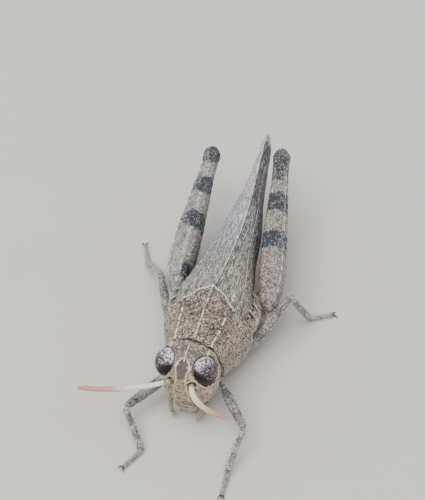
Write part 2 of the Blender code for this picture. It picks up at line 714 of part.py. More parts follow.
def settle():
    """Moves everything so that the middle of the underside of the bounding box is the origin."""
    bpy.context.view_layer.update()
    graph = bpy.context.evaluated_depsgraph_get()
    corners = []
    for obj in bpy.context.scene.objects:
        if not obj.hide_render:
            shown = obj.evaluated_get(graph)
            corners += [shown.matrix_world @ v.co for v in shown.data.vertices]
    low = Vector(min(c[i] for c in corners) for i in range(3))
    high = Vector(max(c[i] for c in corners) for i in range(3))
    shift = Vector((-(low.x + high.x) / 2, -(low.y + high.y) / 2, -low.z))
    for obj in bpy.context.scene.objects:
        obj.location += shift
    print("moved by", [round(value / MM, 3) for value in shift])


def main():
    clear_scene()
    eyes = [make_eye(LEFT), make_eye(RIGHT)]
    head = make_head(eyes)
    pronotum = make_pronotum()
    antennae = [make_antenna(LEFT), make_antenna(RIGHT)]
    cut_round(head, *antennae)
    cut_round(pronotum, head)
    make_labrum()
    for side in (LEFT, RIGHT):
        jaw = make_jaw(side)
        cut_round(jaw, make_palp(side))
    thorax = make_thorax(pronotum, head)
    abdomen = make_abdomen()
    for side in (LEFT, RIGHT):
        make_ovipositor(side)
        make_wing(side, pronotum, thorax, abdomen)
    hind = [make_hind_leg(name, thorax, pronotum) for name in HIND_LEGS]
    for name in SMALL_LEGS:
        make_small_leg(name, thorax, pronotum, head, hind)
    settle()


main()
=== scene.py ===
"""The finished look of a life-size female grasshopper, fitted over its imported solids.

Places and sizes below are in millimetres in the body's own axes: the head faces -Y, the insect's left is +X,
and the origin lies on the floor under the middle of the pronotum's front edge. at() turns them into metres.
"""

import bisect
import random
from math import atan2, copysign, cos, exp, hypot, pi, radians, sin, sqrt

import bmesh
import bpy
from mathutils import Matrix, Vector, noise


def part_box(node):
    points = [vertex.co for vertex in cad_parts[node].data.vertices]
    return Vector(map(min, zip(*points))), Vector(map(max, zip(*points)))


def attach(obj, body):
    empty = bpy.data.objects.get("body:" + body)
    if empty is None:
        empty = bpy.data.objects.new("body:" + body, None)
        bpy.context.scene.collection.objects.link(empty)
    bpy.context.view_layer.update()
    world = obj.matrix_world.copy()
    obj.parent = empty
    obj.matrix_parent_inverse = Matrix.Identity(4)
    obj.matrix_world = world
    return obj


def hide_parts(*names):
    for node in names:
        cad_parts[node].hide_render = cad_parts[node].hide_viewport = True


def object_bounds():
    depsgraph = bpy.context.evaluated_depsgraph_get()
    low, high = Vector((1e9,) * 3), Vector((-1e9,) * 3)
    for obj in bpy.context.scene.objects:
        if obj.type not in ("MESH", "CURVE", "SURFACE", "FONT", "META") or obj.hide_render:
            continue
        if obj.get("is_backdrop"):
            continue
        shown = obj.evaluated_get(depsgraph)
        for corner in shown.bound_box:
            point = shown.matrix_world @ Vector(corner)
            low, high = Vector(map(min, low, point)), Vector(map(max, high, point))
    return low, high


bl_info = {
    "name": "Grasshopper",
    "version": (1, 0, 0),
    "blender": (4, 5, 0),
    "location": "View3D > Sidebar > Grasshopper",
    "description": "Shell plates, wings, legs, feelers and hairs of a short-horned grasshopper",
    "category": "Add Mesh",
}

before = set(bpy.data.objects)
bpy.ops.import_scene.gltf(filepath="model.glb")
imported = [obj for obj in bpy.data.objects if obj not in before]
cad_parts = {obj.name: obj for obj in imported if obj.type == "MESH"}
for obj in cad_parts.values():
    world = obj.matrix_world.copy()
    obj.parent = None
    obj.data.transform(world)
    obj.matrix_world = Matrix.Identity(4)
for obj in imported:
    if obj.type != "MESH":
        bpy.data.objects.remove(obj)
CAD_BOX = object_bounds()

MM = 0.001
ROUND = 2 * pi      # once round, in radians
LEFT, RIGHT = 1, -1
SIDES = {"left": LEFT, "right": RIGHT}
UP = Vector((0, 0, 1))
MASKS = ("pale", "dark", "warm", "deep")    # what each skin is painted with, vertex by vertex

PRONOTUM_LENGTH = 6.3
PRONOTUM_LOW, PRONOTUM_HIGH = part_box("pronotum")
ORIGIN = Vector(((PRONOTUM_LOW.x + PRONOTUM_HIGH.x) / 2, PRONOTUM_HIGH.y - PRONOTUM_LENGTH * MM, 0.0))

# For each coat of hairs: root, direction, length in millimetres, and place on its skin's unwrap
COAT_ROOTS = {}


# ---------------------------------------- settings

def length(name, description, millimetres):
    return bpy.props.FloatProperty(
        name=name, description=description, default=millimetres * MM, min=0.0, unit="LENGTH", precision=6
    )


def tint(name, description, red, green, blue):
    return bpy.props.FloatVectorProperty(
        name=name, description=description, default=(red, green, blue), min=0.0, max=1.0, size=3,
        subtype="COLOR",
    )


def angle(name, description, degrees):
    return bpy.props.FloatProperty(
        name=name, description=description, default=radians(degrees), subtype="ANGLE"
    )


class GrasshopperSizes(bpy.types.PropertyGroup):
    """Sizes that change the look without changing the body's own form."""

    shell: length("Shell", "Thickness of the pronotum's plate", 0.12)
    wing_skin: length("Wing skin", "Thickness of a wing cover", 0.07)
    vein: length("Vein height", "How far the veins stand out of a wing cover", 0.045)
    feeler: length("Feeler", "Half width of a feeler's thread", 0.215)
    tibia_spine: length("Spine", "Length of the longest spines of a hind tibia", 0.85)
    hair: length("Hair", "Length of the longest hairs on the legs", 0.42)
    hair_root: length("Hair root", "Half width of a hair at its root", 0.011)
    feeler_rings: bpy.props.IntProperty(
        name="Feeler rings", description="Rings of a feeler's thread", default=22, min=8
    )


class GrasshopperColours(bpy.types.PropertyGroup):
    """The insect's colours, as linear red, green and blue."""

    disc: tint("Disc", "Top of the pronotum", 0.150, 0.118, 0.094)
    flank: tint("Flank", "Lobes of the pronotum and sides of the thorax", 0.335, 0.268, 0.195)
    face: tint("Face", "Front of the head", 0.47, 0.355, 0.225)
    crown: tint("Crown", "Top of the head", 0.26, 0.218, 0.185)
    shade: tint("Shade", "Dark grains", 0.048, 0.035, 0.028)
    light: tint("Light", "Light grains", 0.70, 0.64, 0.54)
    pale: tint("Pale", "Keels and margins", 0.88, 0.84, 0.79)
    cream: tint("Cream", "Keels of the face", 0.72, 0.64, 0.50)
    rust: tint("Rust", "Warm patches", 0.225, 0.142, 0.095)
    # Wing: its bluish cast is partly a painted tint of the skylight
    wing: tint("Wing", "Ground of the right wing cover behind", 0.350, 0.360, 0.420)
    wing_front: tint("Wing base", "Ground of the right wing cover in front", 0.180, 0.174, 0.178)
    # Wing below: the left wing cover's darker ground is partly its colour, partly painted shade
    wing_under_with_painted_shade: tint("Wing below", "Ground of the left wing cover behind", 0.125, 0.116, 0.112)
    # Wing light: light streaks whose bluish cast is partly a painted tint of the skylight
    wing_light_with_sky_tint: tint("Wing light", "Light streaks of the wing covers", 0.64, 0.65, 0.72)
    wing_dark: tint("Wing dark", "Dark streaks of the wing covers", 0.036, 0.033, 0.037)
    wing_tip: tint("Wing tip", "Ends of the wing covers", 0.57, 0.50, 0.48)
    femur: tint("Femur", "Light ground of the hind femora", 0.32, 0.298, 0.275)
    tan: tint("Tan", "Inner faces of the hind femora", 0.235, 0.182, 0.140)
    band: tint("Band", "Slate bands of the hind femora", 0.042, 0.049, 0.061)
    tibia: tint("Tibia", "Hind tibiae, and the hind femora inside and below", 0.30, 0.048, 0.042)
    leg: tint("Leg", "Smaller legs", 0.265, 0.248, 0.240)
    foot: tint("Foot", "Feet", 0.36, 0.30, 0.26)
    eye: tint("Eye", "Eyes", 0.016, 0.012, 0.014)
    # Light mottling of the eyes: partly pigment, partly a painted reflection of the sky
    eye_sky_reflection_and_mottle: tint("Eye light", "Light mottling of the eyes", 0.66, 0.66, 0.76)
    feeler: tint("Feeler", "Feelers towards their roots", 0.90, 0.79, 0.69)
    feeler_tip: tint("Feeler tip", "Feelers towards their tips", 0.48, 0.25, 0.16)
    horn: tint("Horn", "Claws, spine tips and jaw edges", 0.022, 0.014, 0.010)
    hair: tint("Hair", "Fine hairs", 0.75, 0.74, 0.72)


class GrasshopperStage(bpy.types.PropertyGroup):
    """The camera and the light."""

    turn: angle("Turn", "Camera round the insect, from in front of the head", 18.33)
    rise: angle("Rise", "Camera above the horizon", 50.98)
    roll: angle("Roll", "Tilt of the camera about its view", -2.92)
    distance: length("Distance", "From the camera to the middle of the insect", 165.3)
    lens: bpy.props.FloatProperty(
        name="Lens", description="Focal length", default=131.2, subtype="DISTANCE_CAMERA"
    )
    sky: bpy.props.FloatProperty(
        name="Sky", description="Strength of the light from all round", default=0.85, min=0.0
    )
    lamp: length("Lamp", "Width of the soft lamp overhead", 420.0)
    watts: bpy.props.FloatProperty(
        name="Lamp power", description="Power of the lamp", default=2.5, unit="POWER"
    )
    floor: tint("Floor", "Plain floor", 0.62, 0.60, 0.57)


# ---------------------------------------- shapes

def at(place):
    """A place in body millimetres as metres in the scene."""
    return ORIGIN + Vector(place) * MM


def along(rows, place):
    """The values of (place, value, value ...) rows at a place, on a smooth curve that never overshoots."""
    if place <= rows[0][0]:
        return list(rows[0][1:])
    if place >= rows[-1][0]:
        return list(rows[-1][1:])
    here = max(i for i in range(len(rows) - 1) if rows[i][0] <= place)
    span = rows[here + 1][0] - rows[here][0]
    t = (place - rows[here][0]) / span

    def step(i, column):
        return (rows[i + 1][column] - rows[i][column]) / (rows[i + 1][0] - rows[i][0])

    def slope(i, column):
        if i == 0 or i == len(rows) - 1:
            return step(min(i, len(rows) - 2), column)
        before, after = step(i - 1, column), step(i, column)
        return 0.0 if before * after <= 0 else 2 * before * after / (before + after)

    values = []
    for column in range(1, len(rows[0])):
        a, b = rows[here][column], rows[here + 1][column]
        m0, m1 = slope(here, column) * span, slope(here + 1, column) * span
        values.append(
            a * (2 * t**3 - 3 * t**2 + 1) + m0 * (t**3 - 2 * t**2 + t)
            + b * (3 * t**2 - 2 * t**3) + m1 * (t**3 - t**2)
        )
    return values


def power(value, exponent):
    """A power that keeps the sign of its base, as a superellipse needs."""
    return copysign(abs(value) ** exponent, value)


def ramp(value, start, end):
    """0 at start, 1 at end and smooth between, whichever of the two is larger."""
    t = max(0.0, min(1.0, (value - start) / (end - start)))
    return t * t * (3 - 2 * t)


def hump(distance, width):
    """A soft ridge of height 1 and about that half width."""
    return exp(-((distance / width) ** 2))


def dome(share):
    """A quarter circle: how wide a round end is, at a share of its own radius from its tip."""
    share = max(0.0, min(1.0, share))
    return sqrt(max(0.0, 1 - (1 - share) ** 2))


def pits(place, size):
    """How deep in a pit a place lies, from 0 to 1, for pits about a size apart."""
    return ramp(noise.voronoi(place / size)[0][0], 0.55, 0.1)


def clouds(place, size):
    """Smooth noise from about -1 to 1, in lumps of about a size."""
    return noise.noise(place / size)


def square_up(direction, up):
    """Across and up vectors at right angles to a direction."""
    across = direction.cross(up).normalized()
    return across, across.cross(direction).normalized()


def walk(points):
    """A function that goes along a dense line of points at an even pace as its share goes from 0 to 1."""
    reach = [0.0]
    for a, b in zip(points, points[1:]):
        reach.append(reach[-1] + max((b - a).length, 1e-9))

    def place(share):
        target = share * reach[-1]
        here = min(max(bisect.bisect_right(reach, target) - 1, 0), len(points) - 2)
        return points[here].lerp(points[here + 1], (target - reach[here]) / (reach[here + 1] - reach[here]))

    return place


def smooth_line(points, count=48):
    """A dense, smooth line of places through a few."""
    reach = [0.0]
    for a, b in zip(points, points[1:]):
        reach.append(reach[-1] + (b - a).length)
    rows = [(r, *p) for r, p in zip(reach, points)]
    return [Vector(along(rows, reach[-1] * i / (count - 1))) for i in range(count)]


def bowed(start, middle, end):
    """A function that follows an arc of a parabola through three places."""
    start, middle, end = Vector(start), Vector(middle), Vector(end)
    bend = middle * 2 - (start + end) / 2
    return lambda t: start * (1 - t) ** 2 + bend * 2 * t * (1 - t) + end * t**2


WELD = 0.0015           # points of a skin nearer than this are made one
NUDGE = 0.004           # how far along a path a tube looks to find which way it goes


def sheet(section, long, across):
    """A skin laid over a surface. section(u) gives, for one line across it, a function from v to a place."""
    bm = bmesh.new()
    bm.loops.layers.uv.new("surface")
    bmesh.ops.create_grid(bm, x_segments=long, y_segments=across, size=0.5, calc_uvs=True)
    u_of, v_of = bm.verts.layers.float.new("lengthwise"), bm.verts.layers.float.new("crosswise")
    lines = {}
    for vert in bm.verts:
        u, v = round(vert.co.x + 0.5, 6), vert.co.y + 0.5
        if u not in lines:
            lines[u] = section(u)
        vert[u_of], vert[v_of] = u, v
        vert.co = at(lines[u](v))
    bmesh.ops.remove_doubles(bm, verts=bm.verts, dist=WELD * MM)
    bmesh.ops.recalc_face_normals(bm, faces=bm.faces)
    for mask in MASKS:
        bm.verts.layers.float.new(mask)
    return bm


def face_towards(bm, direction):
    """Turns an open skin so that its outer side faces a direction."""
    total = sum((face.normal * face.calc_area() for face in bm.faces), Vector())
    if total.dot(Vector(direction)) < 0:
        bmesh.ops.reverse_faces(bm, faces=bm.faces)


def carve(bm, touch):
    """Gives each vertex its relief and paint.

    touch(u, v, place) says how far it rises and how strong each mask is there.
    """
    bm.normal_update()
    floats = bm.verts.layers.float
    u_of, v_of = floats["lengthwise"], floats["crosswise"]
    masks = [floats[mask] for mask in MASKS]
    moves = []
    for vert in bm.verts:
        height, *paint = touch(vert[u_of], vert[v_of], (vert.co - ORIGIN) / MM)
        for mask, strength in zip(masks, paint):
            vert[mask] = max(0.0, min(1.0, strength))
        moves.append((vert, vert.normal * height * MM))
    for vert, move in moves:
        vert.co += move


def round_tube(path, girth, reference=UP, square=2.0):
    """Rings round a path. girth(u) gives the half width, and the half heights above and below."""
    reference = Vector(reference) + Vector((0.02, 0.01, 0))

    def section(u):
        centre = path(u)
        ahead = (path(min(u + NUDGE, 1.0)) - path(max(u - NUDGE, 0.0))).normalized()
        across, up = square_up(ahead, reference)
        half_width, above, below = girth(u)

        def place(v):
            turn = ROUND * v
            rise = power(sin(turn), 2 / square)
            return (centre + across * power(cos(turn), 2 / square) * half_width
                    + up * rise * (above if rise > 0 else below))

        return place

    return section


def straight(start, end):
    """A function that goes straight from one place to another."""
    return lambda t: start.lerp(end, t)


def rounded_rows(rows, size, start=1.0, end=1.0):
    """A girth function from (share, half width, above, below) rows, closed by a round cap at each end.

    size is the tube's length, and start and end say how long each cap is against the tube's own half width.
    """
    def girth(u):
        values = along(rows, u)
        first, last = rows[0][1] * start, rows[-1][1] * end
        cap = dome(u * size / first) * dome((1 - u) * size / last)
        return [value * cap for value in values]

    return girth


def limb(start, end, rows, long, across, caps=(1.0, 1.0), **turned_by):
    """A straight tube between two places, whose half widths and heights stand in rows."""
    girth = rounded_rows(rows, (end - start).length, *caps)
    return sheet(round_tube(straight(start, end), girth, **turned_by), long, across)


THORN_WAIST, THORN_POINT, THORN_GREY = 0.68, 0.08, 0.35     # half way and tip widths, and half way paint


def thorn(bm, root, tip, thick, sides=6, bend=None):
    """Adds a spine with a dark point to a skin. bend moves the middle of it aside."""
    root, tip = Vector(root), Vector(tip)
    middle = (root + tip) / 2 + (Vector(bend) if bend else Vector())
    dark = bm.verts.layers.float["dark"]
    for start, end, wide, narrow, low, high in (
        (root, middle, thick, thick * THORN_WAIST, 0.0, THORN_GREY),
        (middle, tip, thick * THORN_WAIST, thick * THORN_POINT, THORN_GREY, 1.0),
    ):
        ahead = end - start
        turn = ahead.to_track_quat("Z", "Y").to_matrix().to_4x4()
        place = Matrix.Translation(at((start + end) / 2)) @ turn
        made = bmesh.ops.create_cone(
            bm, cap_ends=True, segments=sides, radius1=wide * MM, radius2=narrow * MM,
            depth=ahead.length * MM, matrix=place,
        )["verts"]
        top = at(end)
        for vert in made:
            vert[dark] = high if (vert.co - top).length < ahead.length * MM / 2 else low


def ball(bm, centre, radii):
    """Adds a small ellipsoid to a mesh."""
    place = Matrix.Translation(at(centre)) @ Matrix.Diagonal((*(Vector(radii) * MM), 1.0))
    bmesh.ops.create_uvsphere(bm, u_segments=16, v_segments=8, radius=1.0, matrix=place)


TRIES_PER_HAIR = 40     # after this many places for each hair, a skin gets no more
HAIR_STRAY = 0.22       # how far a hair strays from the lie of its coat
HAIR_SHORTEST = 0.55    # the shortest hair of a coat against the longest


def plant(bm, coat, cell, number, choose, size, lean, seed):
    """Picks places on a skin for a number of hairs up to a size long.

    choose(u, v, place) is the chance of a hair there, and lean(normal, place) the way it points.
    """
    random_of = random.Random(seed)
    floats = bm.verts.layers.float
    u_of, v_of = floats["lengthwise"], floats["crosswise"]
    bm.normal_update()
    verts = bm.verts[:]
    roots = COAT_ROOTS.setdefault(coat, [])
    planted, tries = 0, 0
    while planted < number and tries < number * TRIES_PER_HAIR:
        tries += 1
        vert = random_of.choice(verts)
        place = (vert.co - ORIGIN) / MM
        if random_of.random() > choose(vert[u_of], vert[v_of], place):
            continue
        aside = Vector([random_of.uniform(-1, 1) for _ in range(3)])
        direction = (lean(vert.normal, place) + aside * HAIR_STRAY).normalized()
        long = size * random_of.uniform(HAIR_SHORTEST, 1.0)
        roots.append((place, direction, long, (cell, vert[u_of], vert[v_of])))
        planted += 1


def join(bm, part):
    """Moves one mesh in the making into another."""
    mesh = bpy.data.meshes.new("part")
    part.to_mesh(mesh)
    part.free()
    bm.from_mesh(mesh)
    bpy.data.meshes.remove(mesh)


def piece(name, bm, material, nodes=(), wall=None, crease=50):
    """Makes an object of a finished mesh, ties it to the frame and lets it stand for its solids."""
    bm.normal_update()
    mesh = bpy.data.meshes.new(name)
    bm.to_mesh(mesh)
    bm.free()
    mesh.shade_smooth()
    mesh.set_sharp_from_angle(angle=radians(crease))
    mesh.materials.append(material)
    obj = bpy.data.objects.new(name, mesh)
    bpy.context.scene.collection.objects.link(obj)
    if wall:
        solid = obj.modifiers.new("wall", "SOLIDIFY")
        solid.thickness = wall
        solid.offset = -1.0
        solid.use_rim = True
    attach(obj, "root")
    if nodes:
        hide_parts(*nodes)
    return obj


# ---------------------------------------- finishes

PAINT_EDGE = (0.3, 0.75)        # strengths of a mask between which its paint comes in


class Recipe:
    """A material whose nodes are put together a step at a time, with sizes in millimetres."""

    def __init__(self, name):
        self.material = bpy.data.materials.new(name)
        self.material.use_nodes = True
        self.tree = self.material.node_tree
        self.shader = self.tree.nodes["Principled BSDF"]
        self.place = self.tree.nodes.new("ShaderNodeTexCoord").outputs["Object"]

    def put(self, socket, value):
        if isinstance(value, bpy.types.NodeSocket):
            self.tree.links.new(value, socket)
        elif isinstance(value, (int, float)):
            socket.default_value = value
        else:
            socket.default_value = (*value, 1.0) if len(socket.default_value) == 4 else value

    def add(self, kind, inputs, **choices):
        """A new node, with what goes into its sockets and what is chosen in its menus."""
        node = self.tree.nodes.new("ShaderNode" + kind)
        for name, choice in choices.items():
            setattr(node, name, choice)
        for socket, value in inputs.items():
            self.put(node.inputs[socket], value)
        return node.outputs

    def stretched(self, x, y, z):
        """The object's coordinates, drawn out by a factor along each axis."""
        return self.add("Mapping", {"Vector": self.place, "Scale": (1 / x, 1 / y, 1 / z)})[0]

    def level(self, low, high, axis=2):
        """0 below one place along an axis, 1 beyond another."""
        along_axis = self.add("SeparateXYZ", {0: self.place})[axis]
        return self.ramp(along_axis, ORIGIN[axis] + low * MM, ORIGIN[axis] + high * MM)

    def noise(self, size, detail=3.0, where=None):
        inputs = {"Vector": where or self.place, "Scale": 1 / (size * MM), "Detail": detail}
        return self.add("TexNoise", inputs)[0]

    def cells(self, size, where=None, feature="F1"):
        inputs = {"Vector": where or self.place, "Scale": 1 / (size * MM)}
        return self.add("TexVoronoi", inputs, feature=feature)["Distance"]

    def attribute(self, name):
        return self.add("Attribute", {}, attribute_name=name)["Fac"]

    def ramp(self, value, start, end, low=0.0, high=1.0):
        inputs = dict(enumerate((value, start, end, low, high)))
        return self.add("MapRange", inputs, interpolation_type="SMOOTHSTEP")[0]

    def math(self, operation, a, b):
        return self.add("Math", {0: a, 1: b}, operation=operation)[0]

    def times(self, a, b):
        return self.math("MULTIPLY", a, b)

    def mix(self, share, a, b):
        return self.add("Mix", {0: share, 6: a, 7: b}, data_type="RGBA")[2]

    def bump(self, height, depth, below=None):
        inputs = {"Distance": depth * MM, "Height": height}
        if below:
            inputs["Normal"] = below
        return self.add("Bump", inputs)[0]

    def laid(self, colour, paint, value, start, end, most):
        """A colour with a paint laid over it, up to a strength, as a value goes from start to end."""
        return self.mix(self.ramp(value, start, end, 0.0, most), colour, paint)

    def painted(self, colour, mask, paint, ragged):
        """A colour with a mask's paint over it, whose edge is ragged by a noise."""
        strength = self.math("ADD", self.attribute(mask), ragged)
        return self.mix(self.ramp(strength, *PAINT_EDGE), colour, paint)

    def finish(self, colour, roughness, normal=None, **constants):
        self.put(self.shader.inputs["Base Color"], colour)
        self.put(self.shader.inputs["Roughness"], roughness)
        if normal:
            self.put(self.shader.inputs["Normal"], normal)
        for name, value in constants.items():
            self.put(self.shader.inputs[name.replace("_", " ")], value)
        return self.material


def cuticle(name, ground, shade, light, pale, dark, warm, lump=0.60, grain=0.22, deep=0.95, bright=0.85,
            rusty=0.5, gloss=0.62, ragged=0.30, over=0.0, crown=None, deepest=None, hollow=None):
    """Granular insect shell: lumps, grains and beads on a painted ground, under keels, bands and furrows.

    lump and grain are their sizes, deep, bright and rusty say how strongly shade, light and warm show, ragged
    is how uneven the paint's edges are, and over is how strongly the beads show on it. crown is the ground's
    colour towards the top. deepest is painted under the grain and hollow over it, where the mask is deep.
    """
    mix = Recipe(name)
    if crown:
        ground = mix.mix(mix.level(6.9, 7.5), ground, crown)
    edge = mix.ramp(mix.noise(0.18, 3.0), 0.25, 0.75, -ragged, ragged)
    lumps, grit, dust = mix.noise(lump, 3.0), mix.noise(grain, 1.0), mix.noise(grain * 0.7, 1.0)
    beads = mix.ramp(mix.cells(grain * 0.95), 0.46, 0.24)
    beads_here = mix.times(beads, mix.ramp(mix.noise(grain * 2.5, 2.0), 0.42, 0.56))
    colour = mix.laid(ground, warm, mix.noise(lump * 0.8, 2.0), 0.50, 0.64, rusty)
    colour = mix.painted(colour, "warm", warm, edge)
    if deepest:
        colour = mix.painted(colour, "deep", deepest, edge)
    colour = mix.laid(colour, light, lumps, 0.54, 0.70, bright * 0.35)
    colour = mix.laid(colour, shade, lumps, 0.48, 0.34, deep * 0.6)
    colour = mix.laid(colour, shade, grit, 0.48, 0.38, deep)
    colour = mix.laid(colour, shade, dust, 0.45, 0.36, deep * 0.75)
    colour = mix.mix(mix.times(beads_here, bright), colour, light)
    colour = mix.laid(colour, light, dust, 0.58, 0.68, bright * 0.65)
    for mask, paint in (("deep", hollow), ("dark", dark), ("pale", pale)):
        if paint:
            colour = mix.painted(colour, mask, paint, edge)
    if over:
        colour = mix.mix(mix.times(beads_here, over), colour, light)
    normal = mix.bump(beads, grain * 0.18, mix.bump(grit, grain * 0.25))
    roughness = mix.ramp(grit, 0.3, 0.7, gloss - 0.1, gloss + 0.12)
    return mix.finish(colour, roughness, normal, Specular_IOR_Level=0.22)


def shell_finish(colours, name, ground, pale=None, shade=None, **more):
    """Shell in the insect's own light, dark and warm colours."""
    return cuticle(name, ground, shade or colours.shade, colours.light, pale or colours.pale, colours.shade,
                   colours.rust, **more)


def eye_finish(colours):
    """A dark glossy dome of tiny facets, with light wavy mottling over its upper and rear part, partly a
    painted sky reflection.
    """
    # The upper part's lighter ground and light mottling are partly a painted sky reflection; the black over
    # the front and lower part is partly painted shade
    sky_reflection_ground, brown_spots, fleck, black = (
        (0.080, 0.064, 0.064), (0.23, 0.195, 0.19), (0.26, 0.24, 0.25), (0.006, 0.005, 0.006)
    )
    mix = Recipe("eye")
    waves = mix.noise(0.125, 2.0, mix.stretched(1.5, 1.5, 0.75))
    upper = mix.attribute("pale")
    colour = mix.mix(mix.ramp(upper, 0.0, 0.5, 0.15, 0.9), colours.eye, sky_reflection_ground)
    brown = mix.ramp(mix.noise(0.16, 2.0), 0.46, 0.60)
    lit = mix.ramp(mix.attribute("dark"), 0.0, 0.5, 0.8, 0.0)
    colour = mix.mix(mix.times(brown, lit), colour, brown_spots)
    light = mix.ramp(mix.math("ADD", waves, mix.times(upper, 0.28)), 0.65, 0.78)
    colour = mix.mix(light, colour, colours.eye_sky_reflection_and_mottle)
    spots, patches = mix.ramp(mix.cells(0.15), 0.26, 0.12), mix.ramp(mix.noise(0.7, 2.0), 0.4, 0.6)
    colour = mix.mix(mix.times(spots, patches), colour, fleck)
    colour = mix.painted(colour, "dark", black, mix.ramp(waves, 0.3, 0.7, -0.25, 0.35))
    normal = mix.bump(mix.cells(0.035), 0.004)
    return mix.finish(colour, mix.ramp(waves, 0.3, 0.7, 0.26, 0.38), normal, Specular_IOR_Level=0.16,
                      Coat_Weight=0.06, Coat_Roughness=0.1)


def wing_finish(colours, name, front, rear):
    """Dry, parchment-like wing cover: fine straight streaks and grains between its veins."""
    mix = Recipe(name)
    streaks = mix.noise(0.11, 2.0, mix.stretched(1.0, 9.0, 1.0))
    threads = mix.noise(0.075, 1.0, mix.stretched(1.0, 14.0, 1.0))
    grit = mix.noise(0.095, 1.0, mix.stretched(1.0, 1.6, 1.0))
    broad = mix.noise(1.1, 4.0, mix.stretched(1.0, 3.0, 1.0))
    behind = mix.level(9.0, 15.0, 1)
    ground = mix.mix(behind, front, rear)
    light = mix.mix(behind, colours.light, colours.wing_light_with_sky_tint)
    ragged = mix.ramp(grit, 0.25, 0.75, -0.3, 0.3)
    colour = mix.laid(ground, colours.flank, broad, 0.46, 0.64, 0.35)
    colour = mix.painted(colour, "warm", colours.wing_tip, ragged)
    colour = mix.laid(colour, colours.wing_dark, broad, 0.52, 0.36, 0.30)
    colour = mix.laid(colour, colours.wing_dark, streaks, 0.50, 0.36, 0.48)
    colour = mix.laid(colour, light, streaks, 0.50, 0.66, 0.45)
    colour = mix.laid(colour, light, threads, 0.54, 0.66, 0.5)
    colour = mix.laid(colour, colours.wing_dark, grit, 0.45, 0.33, 0.70)
    colour = mix.laid(colour, light, grit, 0.57, 0.70, 0.45)
    net = mix.ramp(mix.cells(0.24, mix.stretched(1.0, 1.5, 1.0), "DISTANCE_TO_EDGE"), 0.10, 0.02)
    for mask, paint in (("dark", colours.wing_dark), ("pale", colours.pale)):
        colour = mix.painted(colour, mask, paint, ragged)
    normal = mix.bump(streaks, 0.02, mix.bump(net, 0.015))
    return mix.finish(colour, mix.ramp(grit, 0.3, 0.7, 0.5, 0.7), normal, Specular_IOR_Level=0.25)


def feeler_finish(colours):
    """Waxy rings that darken to the tip, on a duller root."""
    rosy, joint, root = (0.52, 0.33, 0.26), (0.11, 0.08, 0.07), (0.34, 0.235, 0.17)
    mix = Recipe("feeler")
    colour = mix.mix(mix.ramp(mix.attribute("lengthwise"), 0.28, 0.95), colours.feeler, colours.feeler_tip)
    colour = mix.laid(colour, rosy, mix.noise(0.22, 3.0), 0.45, 0.66, 0.35)
    ragged = mix.ramp(mix.noise(0.1, 3.0), 0.3, 0.7, -0.15, 0.15)
    paints = (("warm", colours.feeler_tip), ("dark", joint), ("deep", root), ("pale", colours.pale))
    for mask, paint in paints:
        colour = mix.painted(colour, mask, paint, ragged)
    return mix.finish(colour, 0.5, mix.bump(mix.noise(0.05, 3.0), 0.006))


def plain_finish(name, colour, other, size, roughness, depth, **constants):
    """One colour clouded with another, for small parts."""
    mix = Recipe(name)
    lumps = mix.noise(size, 4.0)
    blend = mix.mix(mix.ramp(lumps, 0.3, 0.7), colour, other)
    dull = mix.ramp(lumps, 0.3, 0.7, roughness, roughness + 0.15)
    return mix.finish(blend, dull, mix.bump(lumps, depth), **constants)


FINISHES = {}


